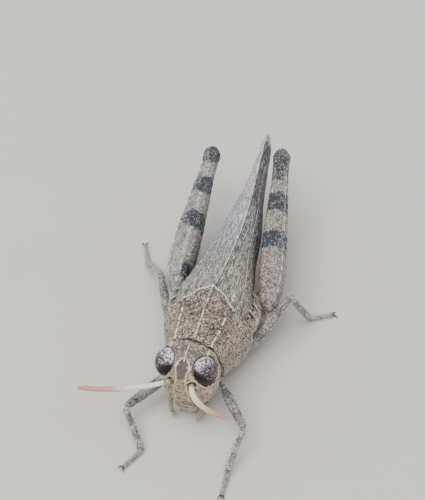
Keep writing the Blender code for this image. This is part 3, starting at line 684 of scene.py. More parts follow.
def finishes(colours):
    """All the insect's materials, made once."""
    if FINISHES:
        return FINISHES
    slate = (0.060, 0.057, 0.062)
    FINISHES.update(
        disc=shell_finish(colours, "disc", colours.disc, grain=0.18, deep=1.0, bright=0.95, rusty=0.6,
                          deepest=colours.flank),
        head=shell_finish(colours, "head_shell", colours.face, colours.cream, (0.070, 0.050, 0.036),
                          rusty=0.4, deep=0.85, bright=0.8, grain=0.20, ragged=0.15, crown=colours.crown,
                          hollow=(0.120, 0.104, 0.096)),
        flank=shell_finish(colours, "flank", colours.flank),
        abdomen=shell_finish(colours, "abdomen_ring", (0.36, 0.28, 0.18), deep=0.6, bright=0.5),
        leg=cuticle("leg_shell", colours.leg, slate, colours.light, colours.pale, slate, colours.rust,
                    lump=0.35, grain=0.15, rusty=0.2),
        femur=cuticle("hind_femur_shell", colours.femur, (0.080, 0.070, 0.066), (0.66, 0.63, 0.59),
                      colours.pale, colours.band, colours.tan, grain=0.19, deep=0.85, bright=0.85, rusty=0.55,
                      gloss=0.5, over=0.42, ragged=0.16, deepest=colours.tibia),
        tibia=cuticle("hind_tibia_shell", colours.tibia, (0.12, 0.035, 0.03), colours.pale, colours.pale,
                      colours.horn, (0.30, 0.05, 0.04), bright=0.15, deep=0.4, gloss=0.42),
        foot=cuticle("foot_pads", colours.foot, (0.16, 0.11, 0.09), colours.light, colours.pale, colours.horn,
                     colours.rust, grain=0.12, gloss=0.48),
        mouth=shell_finish(colours, "mouth_parts", (0.46, 0.365, 0.245), (0.50, 0.475, 0.415), deep=0.5,
                           bright=0.4, rusty=0.2, gloss=0.45),
        palp=shell_finish(colours, "palps", (0.34, 0.29, 0.225), deep=0.35, bright=0.3, rusty=0.3, gloss=0.45,
                          grain=0.12),
        # The left wing cover's grounds are darker than the right one's: partly its colour, partly painted
        # shade
        wing_left=wing_finish(colours, "wing_cover_left", (0.155, 0.138, 0.120), colours.wing_under_with_painted_shade),
        wing_right=wing_finish(colours, "wing_cover_right", colours.wing_front, colours.wing),
        eye=eye_finish(colours),
        feeler=feeler_finish(colours),
        horn=plain_finish("horn", colours.horn, (0.07, 0.035, 0.02), 0.2, 0.25, 0.01, Coat_Weight=0.2),
        ocellus=plain_finish("ocellus", (0.35, 0.22, 0.10), (0.16, 0.08, 0.04), 0.1, 0.1, 0.002,
                             Coat_Weight=0.8),
        membrane=plain_finish("membrane", (0.16, 0.13, 0.11), (0.28, 0.22, 0.17), 0.3, 0.5, 0.03),
        hind_wing=plain_finish("hind_wing", (0.52, 0.34, 0.31), (0.36, 0.27, 0.26), 0.8, 0.35, 0.02),
        hair=plain_finish("hair", colours.hair, (0.55, 0.52, 0.48), 0.5, 0.45, 0.0),
    )
    return FINISHES


# ---------------------------------------- head

# Height, front, widest place, back and half width of the capsule, from the mouth to the crown
HEAD_ROWS = [
    (2.28, -1.55, -1.50, -1.45, 0.0),
    (2.35, -2.82, -1.40, -0.20, 1.70),
    (3.0, -3.02, -1.10, 0.05, 2.27),
    (4.0, -3.20, -0.90, 0.35, 2.58),
    (5.2, -3.24, -0.75, 0.50, 2.66),
    (6.3, -3.02, -0.65, 0.60, 2.50),
    (7.1, -2.55, -0.55, 0.60, 2.10),
    (7.6, -1.95, -0.50, 0.45, 1.50),
    (7.88, -1.20, -0.45, 0.15, 0.70),
    (7.95, -0.62, -0.50, -0.38, 0.0),
]
HEAD_POSE = Matrix.Rotation(radians(-2.7), 3, "Z") @ Matrix.Rotation(radians(-1.7), 3, "Y")
NECK = Vector((0, 0.6, 4.8))
EYE_CENTRE = Vector((1.70, -1.70, 6.36))
EYE_RADII = Vector((1.12, 1.10, 1.36))
EYE_LEAN, EYE_SPREAD = radians(-14), radians(18)
EYE_TAPER = 0.13                # how much narrower than its middle an eye's lower end is
OCELLI = ((0.0, 5.55, 0.085), (0.72, 6.75, 0.08), (-0.72, 6.75, 0.08))      # x, height and radius
SOCKET = (0.92, 5.76)           # x and height of a feeler's socket
# Height, half width of the frontal ridge between its keels, how far it stands out, how hollow it is
RIDGE_ROWS = [
    (2.9, 0.42, 0.00, 0.00), (3.4, 0.60, 0.10, 0.02), (4.3, 0.66, 0.18, 0.05), (5.2, 0.57, 0.22, 0.10),
    (5.9, 0.47, 0.22, 0.12), (6.45, 0.42, 0.22, 0.12), (6.8, 0.48, 0.20, 0.16), (7.1, 0.58, 0.14, 0.20),
    (7.4, 0.54, 0.08, 0.20), (7.62, 0.28, 0.05, 0.12), (7.8, 0.05, 0.02, 0.00),
]


def turned(place):
    """A place of the head, turned about the neck with the face."""
    return HEAD_POSE @ (Vector(place) - NECK) + NECK


def face_on(place):
    """A place of the turned head as it lies on a head that faces straight ahead."""
    return HEAD_POSE.transposed() @ (Vector(place) - NECK) + NECK


def head_section(u):
    """One level ring of the capsule, from the crown down."""
    top, bottom = HEAD_ROWS[-1][0], HEAD_ROWS[0][0]
    level = (top + bottom) / 2 + (top - bottom) / 2 * cos(pi * u)
    front, widest, back, half_width = along(HEAD_ROWS, level)

    def place(v):
        turn = ROUND * (v - 0.5)
        turn += 0.17 * sin(2 * turn)
        x = power(sin(turn), 0.92) * half_width
        ahead = cos(turn) > 0
        y = widest - power(cos(turn), 0.86) * (widest - front if ahead else back - widest)
        return turned((x, y, level))

    return place


def eye_turn(side):
    """How an eye lies in the head: leaning back, with its lower end turned outwards."""
    return Matrix.Rotation(EYE_LEAN, 3, "X") @ Matrix.Rotation(-EYE_SPREAD * side, 3, "Y")


def eye_reach(spot):
    """How far a place is from the middle of the eye on its side, as a share of the eye's own radius there."""
    off = eye_turn(LEFT).transposed() @ (Vector((abs(spot.x), spot.y, spot.z)) - EYE_CENTRE)
    off = Vector((off.x / EYE_RADII.x, off.y / EYE_RADII.y, off.z / EYE_RADII.z))
    taper = 1 + EYE_TAPER * max(-1.0, min(1.0, off.z))
    return Vector((off.x / taper, off.y / taper, off.z)).length


def touch_head(u, v, place):
    """Ridge, hollows, sockets, sutures and colour of the head."""
    spot = face_on(place)
    x, z = abs(spot.x), spot.z
    ridge, stand, hollow = along(RIDGE_ROWS, z)
    face = ramp(spot.y, -0.9, -1.7)
    wave = 0.02 * sin(z * 9.0)
    height = face * stand / (1 + (x / (ridge + 0.1)) ** 8)
    keel = face * hump(x - ridge - wave, 0.055) * ramp(z, 3.0, 3.6) * ramp(z, 7.78, 7.6)
    height += 0.075 * keel - face * hollow * hump(x, ridge * 0.62)
    eye = eye_reach(spot)
    height += 0.07 * hump(eye - 1.13, 0.055) - 0.05 * hump(eye - 1.03, 0.04)
    socket = hypot(x - SOCKET[0], (z - SOCKET[1]) * 0.9)
    rim = face * hump(socket - 0.36, 0.07)
    height += 0.06 * rim - face * 0.18 * hump(socket, 0.26)
    side_keel = face * hump(x - 1.45 - 0.14 * (z - 4.0), 0.07) * ramp(z, 5.0, 4.7) * ramp(z, 2.9, 3.2)
    furrow = hump(x - 1.62 - 0.46 * (z - 2.9), 0.08) * ramp(z, 4.8, 4.5) * ramp(z, 2.7, 3.0)
    furrow *= ramp(spot.y, 0.0, -0.4)
    suture = face * hump(z - 3.02 - 0.05 * cos(x * 2.2), 0.05) * ramp(x, 1.5, 1.25)
    lip_seam = face * hump(z - 2.46, 0.05)
    top = ramp(z, 7.3, 7.6)
    middle = hump(spot.x + 0.01, 0.05) * top * ramp(spot.y, -0.3, -0.7)
    rear_groove = hump(spot.y - 0.22, 0.08) * ramp(z, 7.6, 7.2) * ramp(z, 3.0, 3.6)
    height += 0.05 * side_keel - 0.05 * furrow - 0.06 * suture - 0.07 * lip_seam + 0.03 * middle
    height -= 0.05 * rear_groove
    rough = pits(place, 0.21) * (0.6 - 0.5 * rim)
    height += -0.022 * rough + 0.016 * clouds(place, 0.5) + 0.012 * clouds(place, 0.13)
    tick = 0.5 + 0.5 * sin(atan2(spot.x - EYE_CENTRE.x, spot.y - EYE_CENTRE.y) * 30)
    below = ramp(z, 6.3, 5.6)
    pale = 1.1 * keel + 0.5 * side_keel + 1.0 * middle + (0.35 + 0.4 * below) * hump(eye - 1.14, 0.05)
    pale += 0.45 * tick * hump(eye - 1.34, 0.16) * ramp(z, 6.9, 7.2)
    pale += 1.2 * hump(x - 1.69, 0.06) * hump(spot.y + 0.52, 0.36) * ramp(z, 7.1, 7.3)
    pale += (0.58 * ramp(x, 1.2, 2.1) * ramp(z, 6.6, 5.6) * ramp(clouds(place, 0.25), -0.25, 0.15)
             + 0.35 * ramp(z, 3.2, 2.6))
    dark = 0.75 * hump(eye - 1.04, 0.05) + 0.45 * furrow + 0.5 * suture + 0.6 * rear_groove + 0.5 * lip_seam
    leaf = face * ramp(x, ridge, ridge * 0.55) * ramp(z, 5.5, 6.9) * ramp(z, 7.72, 7.5)
    leaf *= 1 - 0.5 * clouds(place, 0.25)
    # A dark ring over the upper half of each feeler socket: partly its own dark rim, partly painted shade
    dark += face * 1.1 * hump(socket - 0.27, 0.12) * ramp(z, SOCKET[1] - 0.20, SOCKET[1] + 0.02)
    dark += 0.40 * (1 - tick) * hump(eye - 1.42, 0.25) * ramp(z, 6.9, 7.2)
    # The back of the crown, at and under the pronotum's front edge, is painted dark: painted shade
    dark += 0.8 * ramp(spot.y, -0.12, -0.04) * ramp(z, 6.8, 7.2)
    patches = clouds(place, 0.5)
    warm = (0.75 * ramp(z, 7.0, 7.4) * ramp(patches, -0.15, 0.25) * hump(x - 0.85, 0.5)
            * ramp(spot.y, -1.0, -0.5))
    warm += face * 0.35 * ramp(x, ridge, ridge * 0.7) * ramp(z, 6.3, 5.8) * ramp(patches, -0.2, 0.4)
    crown = ramp(z, 6.7, 7.2) * hump(spot.y + 1.15, 0.95) * ramp(x, 1.7, 1.1)
    crown *= 0.62 + 0.5 * clouds(place, 0.25)
    return height, pale, dark, warm, 0.9 * leaf + crown


def make_head(sizes, colours):
    material = finishes(colours)
    bm = sheet(head_section, long=165, across=215)
    carve(bm, touch_head)
    plant(bm, "coat_head", cell=(0, 0), number=700, choose=lambda u, v, p: ramp(p.z, 5.4, 3.4), size=0.20,
          lean=lambda normal, p: normal * 0.8 + Vector((0, -0.2, -0.7)), seed=11)
    piece("head_capsule", bm, material["head"], ["head"])
    bm = bmesh.new()
    for x, z, size in OCELLI:
        front = along(HEAD_ROWS, z)[0]
        curve = 0.30 * abs(x) ** 2.2
        ball(bm, turned((x, front + curve - (0.10 if x == 0 else 0.0), z)), (size, size * 0.8, size))
    piece("ocelli", bm, material["ocellus"])


def make_eyes(sizes, colours):
    """Two egg-shaped domes of facets in their rims, black in front and below, partly as painted shade, and
    mottled above, partly as a painted sky reflection.
    """
    for name, side in SIDES.items():
        bm = bmesh.new()
        pale, dark = (bm.verts.layers.float.new(mask) for mask in ("pale", "dark"))
        bmesh.ops.create_uvsphere(bm, u_segments=80, v_segments=40, radius=1.0)
        turn = HEAD_POSE @ eye_turn(side)
        centre = turned((EYE_CENTRE.x * side, EYE_CENTRE.y, EYE_CENTRE.z))
        for vert in bm.verts:
            out, ahead, rise = vert.co.x * side, -vert.co.y, vert.co.z
            # pale: upper and rear part, lighter partly as a painted sky reflection; dark: front and lower
            # part, black partly as painted shade
            vert[pale] = ramp(0.75 * rise - 0.30 * out - 0.12 * ahead, -0.20, 0.85)
            vert[dark] = ramp(0.45 * ahead - 0.55 * rise - 0.72 * out, -0.15, 0.65)
            vert.co.xy *= 1 + EYE_TAPER * rise
            vert.co = at(centre + turn @ Vector(a * b for a, b in zip(vert.co, EYE_RADII)))
        piece("eye_dome_" + name, bm, finishes(colours)["eye"], ["eye_" + name])


# Height, y, half width and half depth of the lip
LIP_ROWS = [
    (2.42, -2.60, 1.00, 0.30), (2.1, -2.66, 1.05, 0.34), (1.75, -2.62, 1.02, 0.33), (1.45, -2.55, 0.90, 0.28),
    (1.22, -2.48, 0.60, 0.20), (1.16, -2.45, 0.0, 0.0),
]
# Height, x, y, half width and half depth of a jaw
JAW_ROWS = [
    (2.42, 0.74, -1.42, 0.64, 0.80), (1.8, 0.68, -1.45, 0.58, 0.74), (1.45, 0.60, -1.5, 0.48, 0.60),
    (1.32, 0.54, -1.5, 0.0, 0.0),
]
# Path, half width and number of joints of each kind of palp
PALPS = {
    "maxillary_palp_": (
        [(1.50, -1.60, 1.95), (1.62, -2.15, 1.62), (1.50, -2.62, 1.30), (1.22, -2.98, 0.92),
         (0.98, -3.10, 0.60)], 0.20, 5,
    ),
    "labial_palp_": (
        [(0.62, -1.55, 1.55), (0.80, -2.00, 1.18), (0.72, -2.35, 0.90), (0.52, -2.55, 0.62)], 0.15, 3,
    ),
}


def hanging_section(rows, side=1):
    """Level rings that hang down from the head; rows give height, x, y, half width and half depth."""
    def section(u):
        level = rows[0][0] + (rows[-1][0] - rows[0][0]) * sin(u * pi / 2)
        falling = [(-row[0], *row[1:]) for row in rows]
        x, y, half_width, half_depth = along(falling, -level)

        def place(v):
            turn = ROUND * (v + 0.25)
            return turned((x * side + power(cos(turn), 0.87) * half_width,
                           y + power(sin(turn), 0.87) * half_depth, level))

        return place

    return section


def make_mouth(sizes, colours):
    """Upper lip, jaws and palps."""
    material = finishes(colours)

    def touch_lip(u, v, place):
        spot = face_on(place)
        front = ramp(spot.y, -2.5, -2.75)
        notch = hump(spot.x, 0.12) * ramp(spot.z, 1.75, 1.25)
        fold = front * hump(spot.z - 2.12 - 0.05 * spot.x**2, 0.06)
        height = -0.10 * notch - 0.05 * fold + 0.02 * clouds(place, 0.3) - 0.012 * pits(place, 0.16)
        return height, 0.75 * front * ramp(spot.z, 1.95, 1.45), 0.6 * fold + 0.5 * notch, 0.25

    lip = sheet(hanging_section([(z, 0.0, y, w, d) for z, y, w, d in LIP_ROWS]), long=40, across=72)
    carve(lip, touch_lip)
    plant(lip, "coat_head", cell=(1, 0), number=90, choose=lambda u, v, p: ramp(p.z, 1.9, 1.3), size=0.20,
          lean=lambda normal, p: normal * 0.6 + Vector((0, -0.1, -0.9)), seed=12)
    piece("upper_lip", lip, material["mouth"], ["labrum"])

    for name, side in SIDES.items():
        def touch_jaw(u, v, place):
            spot = face_on(place)
            teeth = ramp(spot.z, 1.62, 1.38)
            groove = hump(spot.z - 1.95, 0.07)
            return 0.02 * clouds(place, 0.3) - 0.05 * groove, 0.1, 0.9 * teeth + 0.4 * groove, 0.4

        jaw = sheet(hanging_section(JAW_ROWS, side), long=26, across=48)
        carve(jaw, touch_jaw)
        piece("mandible_" + name, jaw, material["mouth"], ["jaw_" + name])
        for label, (places, thick, joints) in PALPS.items():
            line = walk(smooth_line([turned((x * side, y, z)) for x, y, z in places]))

            def girth(u, thick=thick, joints=joints):
                phase = (u * joints) % 1.0
                swell = 0.80 + 0.20 * ramp(phase, 0.0, 0.75) - 0.22 * ramp(phase, 0.88, 1.0)
                reach = thick * swell * dome(u * 8) * dome((1 - u) * 9)
                return reach, reach, reach

            def touch_palp(u, v, place, joints=joints):
                phase = (u * joints) % 1.0
                joint = hump(min(phase, 1 - phase), 0.06)
                return 0.006 * clouds(place, 0.1), 0.12 * ramp(phase, 0.3, 0.8), 0.5 * joint, 0.2

            palp = sheet(round_tube(line, girth), long=60, across=18)
            carve(palp, touch_palp)
            nodes = ["palp_" + name] if label == "maxillary_palp_" else []
            piece(label + name, palp, material["palp"], nodes)


# Socket, a place half way and tip
FEELER_PATHS = {
    "left": ((0.70, -3.05, 5.82), (2.15, -5.45, 6.9), (5.38, -7.86, 9.45)),
    "right": ((-1.12, -3.00, 5.70), (-5.0, -4.35, 5.0), (-9.02, -5.06, 4.70)),
}
SCAPE, PEDICEL = 0.062, 0.105       # shares of the path at which the first two joints end


def make_feelers(sizes, colours):
    """Scape, pedicel and a ringed thread for each feeler."""
    rings, thick = sizes.feeler_rings, sizes.feeler / MM
    for name, side in SIDES.items():
        path = bowed(*FEELER_PATHS[name])

        def girth(u):
            if u < SCAPE:
                wide = 0.27 * dome(u / SCAPE * 2.2) * (0.82 + 0.18 * sin(pi * u / SCAPE))
            elif u < PEDICEL:
                wide = 0.205 + 0.03 * sin(pi * (u - SCAPE) / (PEDICEL - SCAPE))
            else:
                thread = (u - PEDICEL) / (1 - PEDICEL)
                phase = (thread * rings) % 1.0
                wide = thick * (0.88 + 0.30 * sin(pi * (0.15 + 0.75 * thread)))
                wide *= (0.92 + 0.10 * sin(pi * min(phase * 1.15, 1.0))) * dome((1 - thread) * 9)
            return wide, wide * 0.85, wide * 0.85

        def touch_feeler(u, v, place):
            if u < PEDICEL:
                joint = hump(u - SCAPE, 0.006) + hump(u - PEDICEL, 0.005)
                return -0.05 * joint, 0.0, 0.75 * joint, 0.0, 0.75 * ramp(u, PEDICEL, SCAPE)
            phase = ((u - PEDICEL) / (1 - PEDICEL) * rings) % 1.0
            joint = hump(min(phase, 1 - phase), 0.09)
            tip = 0.45 * ramp(u, 0.6, 1.0) if side == LEFT else 0.60 * ramp(u, 0.12, 0.75)
            return 0.004 * clouds(place, 0.08), 0.40 * ramp(u, 0.5, 0.1), 0.36 * joint, tip

        bm = sheet(round_tube(path, girth), long=330, across=18)
        carve(bm, touch_feeler)
        piece("feeler_" + name, bm, finishes(colours)["feeler"], ["antenna_" + name])


# ---------------------------------------- pronotum

KEEL_TOP = 7.95                     # height of the median keel
# Place from front to rear, keel height, disc edge x and z, widest x and z of the flank, hem height
PRONOTUM_ROWS = [
    (0.0, KEEL_TOP - 0.03, 1.60, 7.50, 2.62, 4.8, 3.40),
    (0.25, KEEL_TOP, 1.79, 7.48, 2.90, 4.5, 2.90),
    (0.5, KEEL_TOP, 1.88, 7.46, 3.38, 4.4, 2.62),
    (0.75, KEEL_TOP, 1.98, 7.42, 3.78, 4.4, 2.55),
    (1.0, KEEL_TOP - 0.02, 2.12, 7.36, 4.02, 4.6, 2.75),
]
# Front and rear edge at each corner of the cross-section, from the keel round to the hem
PRONOTUM_FRONT = (-0.05, 0.0, 0.0, 0.0, 0.0, 0.0, 0.0, 0.0, 0.0, 0.06, 0.2)
PRONOTUM_REAR = (PRONOTUM_LENGTH, 6.24, 5.82, 4.95, 4.70, 4.62, 4.5, 4.42, 4.4, 4.35, 4.1)
SULCI = (1.35, 2.05, 3.05)          # how far back the three furrows cross the disc; the last is the main one


def pronotum_section(u):
    """One line over the saddle, from hem to hem."""
    keel, disc_x, disc_z, flank_x, flank_z, hem_z = along(PRONOTUM_ROWS, u)
    drop, reach = disc_z - flank_z, flank_x - disc_x
    corners = [
        (0.0, keel), (0.16, keel - 0.14), (disc_x * 0.5, disc_z + 0.24), (disc_x * 0.88, disc_z + 0.06),
        (disc_x, disc_z + 0.12), (disc_x + 0.13, disc_z - 0.10),
        (disc_x + reach * 0.42, disc_z - drop * 0.30), (disc_x + reach * 0.80, disc_z - drop * 0.64),
        (flank_x, flank_z), (flank_x, (flank_z + hem_z) / 2), (flank_x - 0.16, hem_z),
    ]
    half = [Vector((x, front + (rear - front) * u, z))
            for (x, z), front, rear in zip(corners, PRONOTUM_FRONT, PRONOTUM_REAR)]
    line = walk(smooth_line(half, 90))

    def place(v):
        spot = line(abs(v - 0.5) * 2)
        return Vector((spot.x if v > 0.5 else -spot.x, spot.y, spot.z))

    return place


def touch_pronotum(u, v, place):
    """Keels, furrows, pits and beaded margins of the saddle."""
    x, y, z = abs(place.x), place.y, place.z
    disc_x, disc_z = along(PRONOTUM_ROWS, u)[1:3]
    top = ramp(z, disc_z - 0.6, disc_z)
    wiggle = 0.04 * clouds(place, 0.6)
    middle = hump(x, 0.065) * top
    off = hypot(x - disc_x - wiggle, (z - disc_z - 0.08) * 0.8)
    edge = hump(off, 0.072 + 0.02 * clouds(place, 0.35))
    furrows = []
    for number, back in enumerate(SULCI):
        lie = back + 0.10 * sin(x * 2.4 + number) - 0.12 * ramp(z, disc_z, disc_z - 2.5) * (1 - number)
        reach = ramp(z, 3.2 + 0.8 * (2 - number), 3.8 + 0.8 * (2 - number))
        furrows.append(hump(y - lie, 0.045 + 0.012 * number) * reach)
    furrow = min(1.0, sum(furrows))
    rear = (1 - u) * (PRONOTUM_LENGTH - 0.4 * x)
    hem = (1 - abs(v - 0.5) * 2) * 7.0
    front = u * PRONOTUM_LENGTH
    broad = 0.055 + 0.02 * ramp(z, disc_z - 0.5, disc_z)
    rim = max(hump(rear - broad, broad), 0.8 * hump(hem - 0.09, 0.09), 0.85 * hump(front - 0.06, 0.06))
    bead = 0.5 + 0.5 * sin(v * ROUND * 74)
    behind = ramp(y, SULCI[2], SULCI[2] + 0.5) * top
    pit = pits(place, 0.26) * (0.5 + 0.5 * behind) * (1 - rim) * (1 - 0.7 * edge)
    height = 0.06 * middle * (1 - 0.9 * furrow) + 0.055 * edge * (1 - 0.8 * furrow) - 0.06 * furrow
    height += (0.05 * rim + 0.02 * rim * bead - 0.05 * pit + 0.022 * clouds(place, 0.22)
               + 0.012 * clouds(place, 0.09))
    dashes = ramp(clouds(place, 0.30), -0.30, 0.05)
    strong = ramp(y, 3.6, 2.6)
    pale = middle * (0.85 + 0.25 * strong) * (0.62 + 0.45 * dashes) * ramp(y, 0.20, 0.45)
    pale += edge * (0.42 + 0.60 * strong) * (0.25 + 0.85 * dashes)
    above = ramp(z, disc_z - 0.5, disc_z)
    pale = pale * (1 - 0.8 * furrow) + rim * (0.30 + 0.30 * bead + 0.45 * above * ramp(front, 0.15, 0.4))
    pale += 0.9 * hump(hypot(x, y - 3.12), 0.11) + 0.8 * hump(hypot(x, y - 4.42), 0.09)
    pale += 0.85 * hump(hypot(x - disc_x, y - 3.15), 0.13)
    pale += 0.30 * ramp(z, 4.6, 3.2) * ramp(clouds(place, 0.5), 0.0, 0.4)
    pale += 0.35 * ramp(place.x, -2.0, -2.5) * ramp(clouds(place, 0.33), 0.0, 0.3)
    dark = 0.32 * furrow * top + 0.30 * pit * behind
    dark += 0.45 * ramp(place.x, -2.0, -2.5) * ramp(clouds(place, 0.37), -0.05, -0.35)
    dark += 0.40 * hump(x - disc_x * 0.55, 0.3) * top * ramp(clouds(place, 0.5), 0.05, 0.45)
    dark += 0.42 * hump(x - disc_x - 0.36, 0.24) * ramp(z, disc_z - 1.0, disc_z - 0.3) * ramp(y, 0.3, 1.2)
    dark += 0.5 * hump(front - 0.16, 0.05) * above
    dark += 0.35 * hump(hypot(y - 3.1, (z - 5.2) * 0.8), 0.35)
    warm = 0.55 * top * ramp(clouds(place, 0.6), -0.2, 0.3) * ramp(y, 1.6, 3.4)
    warm += 0.35 * ramp(z, disc_z - 0.6, disc_z - 1.4) * ramp(clouds(place, 0.7), -0.1, 0.4)
    deep = ramp(z, disc_z - 0.1, disc_z - 0.5) + 0.44 * top * ramp(y, 3.4, 1.4)
    return height, pale, dark, warm, deep


def make_pronotum(sizes, colours):
    """The saddle over the front of the thorax, and the wrinkled neck skin under its front edge."""
    material = finishes(colours)
    bm = sheet(pronotum_section, long=110, across=190)
    face_towards(bm, UP)
    carve(bm, touch_pronotum)
    plant(bm, "coat_trunk", cell=(0, 0), number=900, choose=lambda u, v, p: 0.25 + ramp(p.z, 5.5, 3.5),
          size=0.17, lean=lambda normal, p: normal * 0.8 + Vector((0, 0.6, -0.3)), seed=21)
    piece("pronotum_saddle", bm, material["disc"], ["pronotum"], wall=sizes.shell)

    rows = [(0.0, 1.5, 2.2, 1.5), (0.35, 1.8, 2.5, 1.9), (0.7, 1.9, 2.6, 2.0), (1.0, 1.7, 2.3, 1.8)]
    line = straight(Vector((0, -0.3, 4.6)), Vector((0, 1.6, 4.5)))
    neck = sheet(round_tube(line, rounded_rows(rows, 1.9, 0.05, 0.05)), long=40, across=90)
    carve(neck, lambda u, v, place: (0.06 * sin(u * 40) + 0.03 * clouds(place, 0.3), 0.0, 0.0, 0.0))
    piece("neck_skin", neck, material["membrane"])


# ---------------------------------------- trunk

# Place, half width, top, bottom and middle height of the trunk behind the head
THORAX_ROWS = [
    (0.9, 1.55, 5.2, 1.95, 3.2),
    (2.4, 2.35, 6.0, 1.65, 3.6),
    (4.2, 3.45, 6.4, 1.5, 4.1),
    (5.3, 4.00, 6.5, 1.5, 4.4),
    (6.8, 4.05, 6.5, 1.5, 4.4),
    (7.7, 3.70, 6.5, 1.55, 4.3),
    (8.5, 3.15, 6.4, 1.6, 4.2),
    (9.3, 2.75, 6.3, 1.65, 4.1),
]
# Foot and head of each seam on the thorax's side, as place and height
PLEURAL_SEAMS = (
    ((3.6, 2.1), (4.7, 5.9)), ((4.75, 1.9), (5.85, 6.1)),
    ((5.75, 1.9), (6.75, 6.1)), ((6.9, 1.9), (8.0, 6.1)),
)
TRUNK_SQUARE = 2.1                  # how square its rings are; 2 is round
ABDOMEN_START, ABDOMEN_END, SEGMENTS = 9.4, 20.6, 8
# The same as for the thorax
ABDOMEN_ROWS = [
    (ABDOMEN_START, 2.50, 6.0, 1.70, 3.9),
    (12.0, 2.05, 5.8, 1.70, 3.75),
    (15.0, 1.62, 5.4, 1.80, 3.6),
    (18.0, 1.10, 4.8, 2.05, 3.45),
    (ABDOMEN_END - 0.7, 0.76, 4.25, 2.45, 3.35),
    (ABDOMEN_END, 0.50, 3.9, 2.75, 3.3),
]


def trunk_section(rows, start, end, step):
    """Superellipse rings of the trunk; step(y) makes one larger or smaller."""
    def section(u):
        y = start + (end - start) * u
        half_width, top, bottom, middle = along(rows, y)
        more = step(y)
        cap = dome((y - start) / 0.3 + 0.02) * dome((end - y) / 0.3 + 0.02)

        def place(v):
            turn = ROUND * (v - 0.25)
            rise = power(sin(turn), 2 / TRUNK_SQUARE)
            high = (top - middle if rise > 0 else middle - bottom) + more
            across = power(cos(turn), 2 / TRUNK_SQUARE) * (half_width + more)
            return Vector((across * cap, y, middle + rise * high * cap))

        return place

    return section


def seam_distance(y, z, seam):
    """How far a place on the flank lies from a slanting seam."""
    (y0, z0), (y1, z1) = seam
    run, rise = y1 - y0, z1 - z0
    return ((y - y0) * rise - (z - z0) * run) / hypot(run, rise)


def touch_thorax(u, v, place):
    """Slanting seams, breast plates, breathing hole and pits of the thorax."""
    x, y, z = abs(place.x), place.y, place.z
    side = ramp(x, 1.6, 2.4)
    seams = [seam_distance(y, z, seam) for seam in PLEURAL_SEAMS]
    groove = max(hump(d, 0.065) for d in seams) * side
    welt = max(hump(d - 0.20, 0.10) for d in seams) * side
    plate = 0.07 * cos(pi * (y - 4.0) / 1.1) * side
    under = ramp(z, 2.4, 1.9)
    breast = (hump(y - 4.6, 0.07) + hump(y - 6.5, 0.07) + hump(x - 0.75 - 0.10 * sin(y), 0.06)) * under
    spiracle = hypot((y - 4.35) * 1.6, z - 5.0)
    height = plate - 0.10 * groove + 0.05 * welt - 0.07 * breast - 0.04 * pits(place, 0.3)
    height += 0.03 * clouds(place, 0.45) + 0.015 * clouds(place, 0.15) - 0.10 * hump(spiracle, 0.12)
    pale = 0.5 * welt + 0.55 * hump(seams[1] - 0.4, 0.25) * ramp(z, 5.4, 4.6) * side + 0.3 * under
    dark = 0.85 * groove + 0.6 * breast + 0.8 * hump(spiracle, 0.13) + 0.55 * hump(z - 5.6, 0.4) * side
    return height, pale, dark, 0.35 * ramp(clouds(place, 0.7), 0.05, 0.5)


def segment_phase(y):
    """How far back in its ring of the abdomen a place lies."""
    return (y - ABDOMEN_START) / (ABDOMEN_END - ABDOMEN_START) * SEGMENTS % 1.0


def segment_step(y):
    """Each ring widens to its rear edge, under which the next one starts."""
    phase = segment_phase(y)
    return -0.07 + 0.11 * ramp(phase, 0.0, 0.88) - 0.15 * ramp(phase, 0.93, 1.0)


def touch_abdomen(u, v, place):
    """Side folds, ring edges, breathing holes and eardrums of the abdomen."""
    x, y, z = abs(place.x), place.y, place.z
    phase = segment_phase(y)
    middle = along(ABDOMEN_ROWS, y)[3]
    fold = hump(z - middle + 0.75, 0.10) * ramp(x, 0.3, 0.8)
    hem = hump(phase - 0.88, 0.05)
    spiracle = hypot((phase - 0.25) * 1.4, z - middle + 0.42)
    drum = hypot((y - 10.0) / 0.42, (z - 4.4) / 0.62) if x > 1 else 9.0
    height = (-0.07 * fold - 0.03 * hump(phase - 0.76, 0.03) + 0.014 * clouds(place, 0.12)
              + 0.02 * clouds(place, 0.5))
    height -= 0.05 * hump(spiracle, 0.09) + 0.14 * ramp(drum, 1.0, 0.8) - 0.05 * hump(drum - 1.08, 0.1)
    pale = 0.55 * hump(phase - 0.93, 0.04) + 0.35 * ramp(z, middle - 0.8, middle - 1.2)
    dark = 0.75 * hem * ramp(clouds(place, 0.25), -0.4, 0.3) + 0.8 * hump(spiracle, 0.08) + 0.4 * fold
    # Darker towards the top, under the wing covers: painted shade
    dark += 0.45 * ramp(z, middle + 0.9, middle + 1.5)
    return height, pale, dark, 0.4 * ramp(phase, 0.9, 0.2) * ramp(clouds(place, 0.8), 0.0, 0.5)


def make_thorax(sizes, colours):
    """Side plates and breast plates between the legs."""
    bm = sheet(trunk_section(THORAX_ROWS, 0.9, 9.55, lambda y: 0.0), long=130, across=170)
    carve(bm, touch_thorax)
    plant(bm, "coat_trunk", cell=(1, 0), number=2600, size=0.34, seed=22,
          choose=lambda u, v, p: ramp(p.z, 5.6, 4.2) * ramp(p.y, 3.5, 4.5),
          lean=lambda normal, p: normal * 0.9 + Vector((0, 0.3, -0.25)))
    piece("thorax_plates", bm, finishes(colours)["flank"], ["thorax"])


